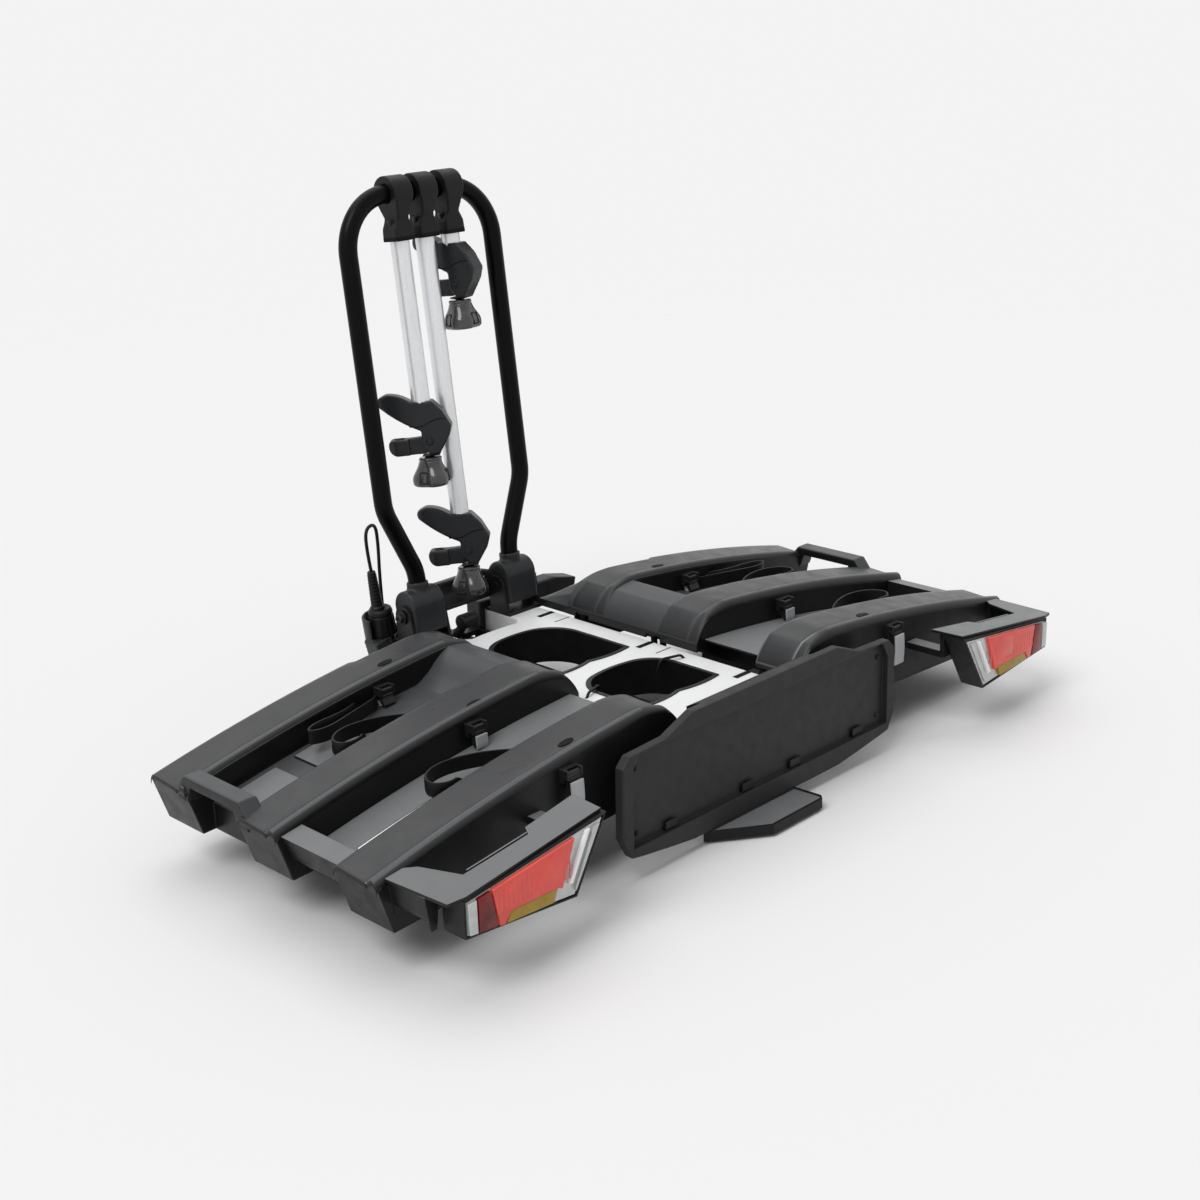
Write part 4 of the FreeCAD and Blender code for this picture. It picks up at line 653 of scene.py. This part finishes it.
# where each claw sits: along the hoop's top bar, down its tube, turned round it
arm = {"x": (-42.0, 5.0, 54.0), "low": (292.0, 112.0, 512.0), "turn": (135.0, 135.0, 108.0),
       "hinge": (277.0, 194.0), "lean": 6.0}
# clamp knobs: three lobes that flare downwards, a ribbed collar, a bore; each level has height, radius, waist
knob = {"off": -3.0, "steps": 72, "lobes": 3, "lobePower": 0.8,
        "levels": ((-122, 25.0, 0.80), (-121.2, 27.5, 0.80), (-119, 29.6, 0.79), (-115, 30.2, 0.79),
                   (-110, 30.0, 0.78), (-106, 28.6, 0.79), (-101, 25.6, 0.81), (-96, 22.3, 0.84),
                   (-91, 19.6, 0.88), (-87, 18.0, 0.93), (-85.5, 17.6, 0.95), (-85.2, 16.6, 1.0),
                   (-83.2, 16.6, 1.0), (-82.9, 17.4, 1.0), (-80.5, 17.0, 1.0), (-79, 15.0, 1.0),
                   (-79, 4.2, 1.0), (-100, 4.2, 1.0))}
# raised frames between the lobes: low, high, left, right of each bar
knobWindow = {"reach": 19.4, "from": -98, "flare": 0.26, "deep": 2.2,
              "bars": ((-117, -114.5, -7, 7), (-100.5, -98.5, -5, 5), (-115, -100, -7, -5.4),
                       (-115, -100, 5.4, 7))}


def clawPlace(index, turned=True):
    base = Matrix.Translation(Vector((0, *arm["hinge"])) * mm)
    lean = Matrix.Rotation(-math.radians(arm["lean"]), 4, "X")
    spot = Matrix.Translation(Vector((arm["x"][index], 0, arm["low"][index])) * mm)
    turn = arm["turn"][index] if turned else 0.0
    return base @ lean @ spot @ Matrix.Rotation(math.radians(turn), 4, "Z")


def knobMesh():
    bm = bmesh.new()
    rings = []
    for z, radius, waist in knob["levels"]:
        ring = []
        for k, (c, s) in enumerate(roundTurn(knob["steps"])):
            lobe = 0.5 + 0.5 * math.cos(knob["lobes"] * 2 * math.pi * k / knob["steps"])
            reach = radius * (waist + (1 - waist) * lobe ** knob["lobePower"])
            ring.append(bm.verts.new(Vector((knob["off"] + reach * c, reach * s, z)) * mm))
        rings.append(ring)
    bridge(bm, rings)
    bm.faces.new(rings[-1])
    bm.faces.new(rings[0][::-1])
    return bm


def windowMesh():
    bm = bmesh.new()
    for k in range(knob["lobes"]):
        turn = math.pi * (2 * k + 1) / knob["lobes"]    # halfway between two lobes
        out = Vector((math.cos(turn), math.sin(turn), 0))
        side = Vector((-out.y, out.x, 0))
        for low, high, left, right in knobWindow["bars"]:
            addBar(bm, [out * (knobWindow["reach"] + (knobWindow["from"] - z) * knobWindow["flare"] + deep)
                        + side * across + Vector((knob["off"], 0, z)) for z in (low, high)
                        for across in (left, right) for deep in (0.0, knobWindow["deep"])])
    return bm


for index, letter in enumerate("abc"):
    for name, maker, mat in (("knob", knobMesh, "knobSmoke"), ("knobFrame", windowMesh, "clawPlastic")):
        bm = maker()
        bm.transform(clawPlace(index))
        piece = addPiece(name + letter.upper(), bm, mat, "knob_" + letter, sharp=32)
        if name == "knob":
            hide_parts("claw_knob_" + letter)
print("knobs built")

# claw details: pin heads, the seam between jaw and hub, the finger's ringed pad, two bands on the tube
clawPin = {"x": -7.0, "y": 14.6, "z": -54.0,
           "profile": ((6.4, 0), (6.4, 0.9), (5.6, 1.5), (3.2, 1.5), (2.6, 0.7), (0.01, 0.6))}
clawSeam = {"y": 14.1, "deep": 1.2, "half": 0.8,
            "line": ((20, -30), (8, -31.5), (-2, -30), (-12, -25), (-22, -22), (-33, -22))}
fingerPad = {"x": 39, "z": -48.9, "rings": 6, "reach": 9.5, "step": 1.5, "wide": 0.8, "rise": 0.5,
             "stretch": 1.35, "steps": 36}
collarBand = {"z": 531.0, "square": 17.4, "grow": 1.25,
              "profile": ((17.9, 0), (18.4, 0.6), (18.4, 5.4), (17.9, 6))}
tubeSleeve = {"z": 533.0, "profile": ((13.9, 0), (14.9, 1), (14.9, 27.6), (13.3, 29.2))}


def pinMesh(index):
    bm = bmesh.new()
    for side in (-1, 1):
        start = (clawPin["x"], side * clawPin["y"], clawPin["z"])
        latheMesh(clawPin["profile"], start, (0, side, 0), steps=28, bm=bm)
    bm.transform(clawPlace(index))
    return bm


def seamMesh(index):
    bm = bmesh.new()
    deep, half = clawSeam["deep"], clawSeam["half"]
    section = ((0, -half), (deep, -half), (deep, half), (0, half))
    for side in (-1, 1):
        addBand(bm, [[bm.verts.new(Vector((x, side * (clawSeam["y"] + out), z + up)) * mm)
                      for out, up in section] for x, z in clawSeam["line"]])
    bm.transform(clawPlace(index))
    return bm


def padMesh(index):
    bm = bmesh.new()
    for k in range(fingerPad["rings"]):
        reach = fingerPad["reach"] - fingerPad["step"] * k
        outer, inner = ([bm.verts.new(Vector((fingerPad["x"] + fingerPad["stretch"] * r * c, r * s,
                                              fingerPad["z"] + rise)) * mm)
                         for c, s in roundTurn(fingerPad["steps"])]
                        for r, rise in ((reach, 0.0), (reach - fingerPad["wide"], fingerPad["rise"])))
        bridge(bm, (outer, inner))
    bm.faces.new(inner)
    bm.transform(clawPlace(index))
    return bm


def tubeBandMesh(index, band):
    bm = latheMesh(band["profile"], (0, 0, band["z"] - arm["low"][index]), (0, 0, 1), steps=48)
    if "square" in band:    # follows the collar's own squared shape
        limit = band["square"] * mm
        for vert in bm.verts:
            vert.co.x = max(-limit, min(limit, vert.co.x * band["grow"]))
            vert.co.y = max(-limit, min(limit, vert.co.y * band["grow"]))
    bm.transform(clawPlace(index, turned=False))
    return bm


for index, letter in enumerate("abc"):
    end = letter.upper()
    addPiece("clawPinHeads" + end, pinMesh(index), "blackSteelCoat", "claw_" + letter)
    addPiece("clawSeam" + end, seamMesh(index), "slotDark", "claw_" + letter)
    addPiece("fingerPad" + end, padMesh(index), "strapRubber", "finger_" + letter)
    for name, mat, band in (("collarBand", "slotDark", collarBand),
                            ("tubeSleeve", "blackPlastic", tubeSleeve)):
        addPiece(name + end, tubeBandMesh(index, band), mat, "arm_" + letter)
print("claw details added")

# cords: the parked plug's lead and the two lamp leads, on the CAD tubes' own routes
plug = {"x": -126.5, "y": 326.0, "base": 132.0, "lean": 6.5, "relief": -4.0, "top": 115.0, "leadGap": 0.6,
        "foot": ((18.6, 0.4), (20.0, 1.6), (20.0, 6.0), (19.2, 6.8), (19.2, 9.0), (20.0, 9.8)),
        "shellReach": 19.8, "shellTaper": 0.05, "shellFrom": 12.0, "shellRings": 30,
        "cap": ((18.3, 42.5), (17.6, 43.2), (17.6, 45.4), (18.5, 46.2), (18.3, 49.0), (17.0, 52.6),
                (15.4, 54.0), (0.01, 54.0)),
        "ribs": 16, "ribEnds": ((12.5, 19.0), (40.5, 17.8)), "ribHalf": 0.9, "ribDeep": 1.5,
        "neck": ((11.0, 53.0), (11.0, 58.0), (9.6, 59.2), (9.0, 60.0)),
        "rings": 9, "ringPitch": 5.6, "ringFrom": 62.0, "ringReach": 8.9, "ringTaper": 0.24,
        "ringShape": ((0.0, 0.0), (0.0, 3.4), (0.9, 4.0), (0.9, 5.0)),
        "end": ((6.5, 113.5), (5.6, 115.0), (0.01, 115.0))}
plugCord = {"radius": 2.6, "length": 0.2897}    # radius in mm, length in m
lampCord = {"radius": 2.0, "length": 0.0751}
tilt = math.radians(plug["lean"])
leadTop = (plug["x"] + plug["relief"] * math.cos(tilt) - plug["top"] * math.sin(tilt), plug["y"],
           plug["base"] + plug["relief"] * math.sin(tilt) + plug["top"] * math.cos(tilt) + plug["leadGap"])
leadRoute = [leadTop, (-148.5, 327, 284), (-146.5, 328, 313), (-119, 339, 313), (-113.7, 343, 275),
             (-114.2, 344, 235), (-112, 346, 188), (-109, 348, 150), (-106, 347, 120), (-106, 336.2, 120)]
lampLeadRoute = ((58, -66, 120), (60, -66, 141), (80, -74, 141.5), (101, -80, 141.5), (101, -80, 124))


def makeCord(name, route, radius, length, body, node, slot):
    curve = bpy.data.curves.new(name, "CURVE")
    curve.dimensions = "3D"
    curve.bevel_depth = radius * mm
    curve.bevel_resolution = 6
    curve.resolution_u = 16
    curve.use_fill_caps = True
    spline = curve.splines.new("NURBS")
    spline.points.add(len(route) - 1)
    for point, spot in zip(spline.points, route):
        point.co = (*[c * mm for c in spot], 1)
    spline.order_u = 3
    spline.use_endpoint_u = True
    curve.materials.append(surface["cableRubber"])
    piece = bpy.data.objects.new(name, curve)
    bpy.context.scene.collection.objects.link(piece)
    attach(piece, body)
    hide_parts(node)


makeCord("plugLead", leadRoute, **plugCord, body="chassis", node="plug_cable", slot="cable_rubber")
for side, sign in sides:
    route = [(sign * x, y, z) for x, y, z in lampLeadRoute]
    makeCord("lampLead_" + side, route, **lampCord, body="chassis", node="lamp_cable_" + side,
             slot="cable_rubber")
print("leads laid")


def plugMesh():
    # ribbed body with a foot and a cap, then soft rings up the strain relief
    shell = [(plug["shellReach"] - plug["shellTaper"] * k, plug["shellFrom"] + k)
             for k in range(plug["shellRings"])]
    bm = latheMesh([*plug["foot"], *shell, *plug["cap"]], (0, 0, 0), (0, 0, 1), steps=64)
    for c, s in roundTurn(plug["ribs"]):
        out, side = Vector((c, s, 0)), Vector((-s, c, 0))
        addBar(bm, [out * (r + deep) + side * across + Vector((0, 0, z)) for z, r in plug["ribEnds"]
                    for across in (-plug["ribHalf"], plug["ribHalf"]) for deep in (0.0, plug["ribDeep"])])
    rings = [(plug["ringReach"] - plug["ringTaper"] * k - deep,
              plug["ringFrom"] + plug["ringPitch"] * k + rise)
             for k in range(plug["rings"]) for deep, rise in plug["ringShape"]]
    latheMesh([*plug["neck"], *rings, *plug["end"]], (plug["relief"], 0, 0), (0, 0, 1), steps=40, bm=bm)
    place = Matrix.Translation(Vector((plug["x"], plug["y"], plug["base"])) * mm)
    bm.transform(place @ Matrix.Rotation(-tilt, 4, "Y"))
    return bm


addPiece("trailerPlug", plugMesh(), "cableRubber", "chassis", sharp=30,
         replaces=("trailer_plug",))
print("plug built")

# wheels: rubber tyre with a grooved tread, hub with six spokes on both faces
wheel = {"x": 128.0, "y": 318.0, "z": 30.0, "half": 12.0, "tread": (29.2, 29.95), "treadFrom": 6.0,
         "treadStep": 1.5, "grooves": 9, "shoulder": ((18.0, 0.6), (25.5, 0.3), (28.6, 1.6), (29.7, 4.5)),
         "bore": 17.9, "spokes": 6, "spokeRun": (7.8, 15.6), "spokeHalf": 1.3, "spokeDeep": (-0.4, 1.6),
         "spokeIn": 3.4, "hub": ((18.4, 1.6), (17.0, 1.0), (15.6, 1.6), (15.0, 3.4), (8.6, 3.4), (8.0, 1.2),
                                 (7.2, 0.6), (5.2, 0.6))}


def tyreMesh(start):
    wide = 2 * wheel["half"]
    tread = [(wheel["tread"][k % 2], wheel["treadFrom"] + wheel["treadStep"] * k)
             for k in range(wheel["grooves"])]
    back = [(r, wide - at) for r, at in wheel["shoulder"][::-1]]
    return latheMesh([*wheel["shoulder"], *tread, *back, (wheel["bore"], wheel["half"])], start, (1, 0, 0),
                     steps=60)


def hubMesh(centre):
    bm = bmesh.new()
    for face in (-1, 1):
        latheMesh(wheel["hub"], centre + Vector((face * wheel["half"], 0, 0)), (-face, 0, 0), steps=48, bm=bm)
    for c, s in roundTurn(wheel["spokes"]):
        spot, across = Vector((0, c, s)), Vector((0, -s, c))
        for face in (-1, 1):
            base = centre + Vector((face * (wheel["half"] - wheel["spokeIn"]), 0, 0))
            addBar(bm, [base + spot * r + across * a + Vector((face * d, 0, 0)) for r in wheel["spokeRun"]
                        for a in (-wheel["spokeHalf"], wheel["spokeHalf"]) for d in wheel["spokeDeep"]])
    return bm


for side, sign in sides:
    centre = Vector((sign * wheel["x"], wheel["y"], wheel["z"]))
    bm = tyreMesh(centre - Vector((wheel["half"], 0, 0)))
    addPiece("tyre_" + side, bm, "wheelRubber", "wheel_body_" + side, sharp=30,
             replaces=("wheel_" + side,))
    addPiece("hub_" + side, hubMesh(centre), "blackPlastic", "wheel_body_" + side, sharp=30)
print("wheels built")

# bolts: hex heads on washers at the hoop pins, the hoop's feet and the plate; profiles as shares of the size
bolt = {"washer": ((1.35, 0), (1.35, 0.2), (1.25, 0.28), (0.9, 0.3)), "seat": 0.28,
        "head": ((1, 0), (1, 0.55), (0.86, 0.68), (0.4, 0.68), (0.36, 0.4), (0, 0.4)),
        "pin": (131.5, 275.54, 180.08), "pinSize": 8.0,
        "foot": ((72, 251.5), (116, 251.5), (72, 298), (116, 298)), "footTop": 141.0, "footSize": 4.2,
        "plate": ((-250, 150), (250, 150), (-250, 62), (250, 62)), "plateFace": -313.0, "plateSize": 3.2}


def boltMesh(bm, start, axis, size):
    washer, head = ([(max(0.01, size * r), size * at) for r, at in bolt[part]] for part in ("washer", "head"))
    latheMesh(washer, start, axis, steps=32, bm=bm)
    latheMesh(head, Vector(start) + Vector(axis) * size * bolt["seat"], axis, steps=6, bm=bm)


bracketBolts, plateScrews = bmesh.new(), bmesh.new()
for side, sign in sides[::-1]:
    x, y, z = bolt["pin"]
    boltMesh(bracketBolts, (sign * x, y, z), (sign, 0, 0), bolt["pinSize"])
    for x, y in bolt["foot"]:
        boltMesh(bracketBolts, (sign * x, y, bolt["footTop"]), (0, 0, 1), bolt["footSize"])
for x, z in bolt["plate"]:
    boltMesh(plateScrews, (x, bolt["plateFace"], z), (0, -1, 0), bolt["plateSize"])
addPiece("bracketBolts", bracketBolts, "blackSteelCoat", "chassis", sharp=25)
addPiece("plateScrews", plateScrews, "blackSteelCoat", "chassis", sharp=25)
print("bolts added")

# strap eyes: recessed ovals in the rails' tops; profile as share of the oval and height over the rail
eye = {"places": ((278, 135), (293, -67), (303, -247)), "long": 13.0, "wide": 5.5, "steps": 40,
       "profile": ((1.0, 1.2), (0.95, 2.3), (0.88, 2.3), (0.82, 1.9), (0.4, 1.85))}


def eyeMesh(x, y, sign):
    bm = bmesh.new()
    rings = []
    for share, lift in eye["profile"]:
        spots = [(x + eye["long"] * share * c, y + eye["wide"] * share * s)
                 for c, s in roundTurn(eye["steps"])]
        rings.append([bm.verts.new(Vector((sign * a, b, railTop(a) + lift)) * mm) for a, b in spots])
    bridge(bm, rings)
    bm.faces.new(rings[-1])
    return bm


for side, sign in sides:
    for k, (x, y) in enumerate(eye["places"]):
        addPiece("strapEye%d_%s" % (k + 1, side), eyeMesh(x, y, sign), "slotDark", "wing_" + side)
print("strap eyes added")

# dark fills of the frame's edge slots and score lines
mark = {"edge": 119.9, "long": 32.4, "slots": (213.0, 1.0, -187.0), "slotHalf": 4.8, "slotLow": 133.05,
        "lineStep": -37.0, "lineHalf": 1.2, "lineLow": 134.8, "high": 135.8, "bevel": 0.3}
bm = bmesh.new()
for side, sign in sides[::-1]:
    near, far = sorted((sign * (mark["edge"] - mark["long"]), sign * mark["edge"]))
    for y in mark["slots"]:
        for at, half, low in ((y, mark["slotHalf"], mark["slotLow"]),
                              (y + mark["lineStep"], mark["lineHalf"], mark["lineLow"])):
            prismMesh([(near, at - half), (far, at - half), (far, at + half), (near, at + half)], "xy", low,
                      mark["high"], mark["bevel"], 1, bm)
addPiece("frameSlots", bm, "slotDark", "chassis", sharp=30)

# strips on the channel floors that follow the rails' arc: finish, slot, x range, y range, drop, thickness
floorMarks = {
    # painted light: a bright white strip in the slit stands in for the lit floor seen through it
    "paintedSlitLight": ("lampGlow", "grey_tray", 426.0, 551.0, -150.6, -140.4, 42.4, 1.2),
    "floorPadOuter": ("trayPlastic", "grey_shell", 500.5, 574.5, 5.6, 91.4, 32.75, 0.6),
    "floorPadInner": ("trayPlastic", "grey_shell", 392.5, 469.5, 5.6, 91.4, 32.75, 0.6),
}


def floorStrip(name, side, sign, mat, slot, x0, x1, y0, y1, drop, thick, steps=16):
    bm = bmesh.new()
    rows = []
    for k in range(steps + 1):
        x = x0 + (x1 - x0) * k / steps
        z = railTop(x) - drop
        rows.append([bm.verts.new(Vector((sign * x, y, z - deep)) * mm)
                     for y, deep in ((y0, 0), (y1, 0), (y1, thick), (y0, thick))])
    addBand(bm, rows)
    addPiece("%s_%s" % (name, side), bm, mat, "wing_" + side, sharp=40)


for side, sign in sides:
    for name, values in floorMarks.items():
        floorStrip(name, side, sign, *values)
print("floor marks laid")

# stage: floor that fades into the pale background, world light and two soft suns
stage = {"floorSize": 16.0, "floorDrop": 0.0004, "floorColour": 0.83, "floorRough": 0.8, "floorSheen": 0.1,
         "fadeFrom": 1.6, "fadeTo": 4.5, "back": 0.896, "worldLight": 0.42}
lamps = {
    "key": {"from": (-0.75, -0.1, 1.0), "strength": 1.45, "spread": 34},
    "top": {"from": (0.15, 0.35, 1.0), "strength": 1.0, "spread": 60},
}


def makeFloor():
    half = stage["floorSize"] / 2
    bm = bmesh.new()
    corners = ((-half, -half), (half, -half), (half, half), (-half, half))
    bm.faces.new([bm.verts.new((x, y, -stage["floorDrop"])) for x, y in corners])
    mesh = bpy.data.meshes.new("paleFloor")
    bm.to_mesh(mesh)
    bm.free()
    floor = bpy.data.objects.new("paleFloor", mesh)
    bpy.context.scene.collection.objects.link(floor)
    mat, tree, shader, place = startMaterial("paleFloor")
    shader.inputs["Base Color"].default_value = (*[stage["floorColour"]] * 3, 1)
    shader.inputs["Roughness"].default_value = stage["floorRough"]
    shader.inputs["Specular IOR Level"].default_value = stage["floorSheen"]
    far = addNode(tree, "ShaderNodeVectorMath", links={"Vector": place}, operation="LENGTH")
    fade = addNode(tree, "ShaderNodeMapRange", {"From Min": stage["fadeFrom"], "From Max": stage["fadeTo"]},
                   {"Value": far.outputs["Value"]}, interpolation_type="SMOOTHSTEP")
    empty = addNode(tree, "ShaderNodeBsdfTransparent")
    mix = addNode(tree, "ShaderNodeMixShader", links={0: fade.outputs["Result"], 1: shader.outputs["BSDF"],
                                                      2: empty.outputs["BSDF"]})
    tree.links.new(mix.outputs["Shader"], tree.nodes["Material Output"].inputs["Surface"])
    mesh.materials.append(mat)


def makeWorld():
    world = bpy.data.worlds.new("paleStudio")
    bpy.context.scene.world = world
    world.use_nodes = True
    tree = world.node_tree
    back = tree.nodes["Background"]
    back.inputs["Color"].default_value = (1, 1, 1, 1)
    back.inputs["Strength"].default_value = stage["worldLight"]
    shown = addNode(tree, "ShaderNodeBackground", {"Color": (*[stage["back"]] * 3, 1), "Strength": 1.0})
    path = addNode(tree, "ShaderNodeLightPath").outputs
    seen = addNode(tree, "ShaderNodeMath", links={0: path["Is Camera Ray"], 1: path["Is Glossy Ray"]},
                   operation="MAXIMUM")
    looked = addNode(tree, "ShaderNodeMath", links={0: seen.outputs["Value"], 1: path["Is Transmission Ray"]},
                     operation="MAXIMUM")
    mix = addNode(tree, "ShaderNodeMixShader",
                  links={0: looked.outputs["Value"], 1: back.outputs["Background"],
                         2: shown.outputs["Background"]})
    tree.links.new(mix.outputs["Shader"], tree.nodes["World Output"].inputs["Surface"])


def makeLamps():
    for name, values in lamps.items():
        data = bpy.data.lights.new(name, "SUN")
        data.energy = values["strength"]
        data.angle = math.radians(values["spread"])
        item = bpy.data.objects.new(name, data)
        item.rotation_euler = Vector([-c for c in values["from"]]).to_track_quat("-Z", "Y").to_euler()
        bpy.context.scene.collection.objects.link(item)


makeFloor()
makeWorld()
makeLamps()
bpy.context.scene.view_settings.view_transform = "Standard"
print("stage made")
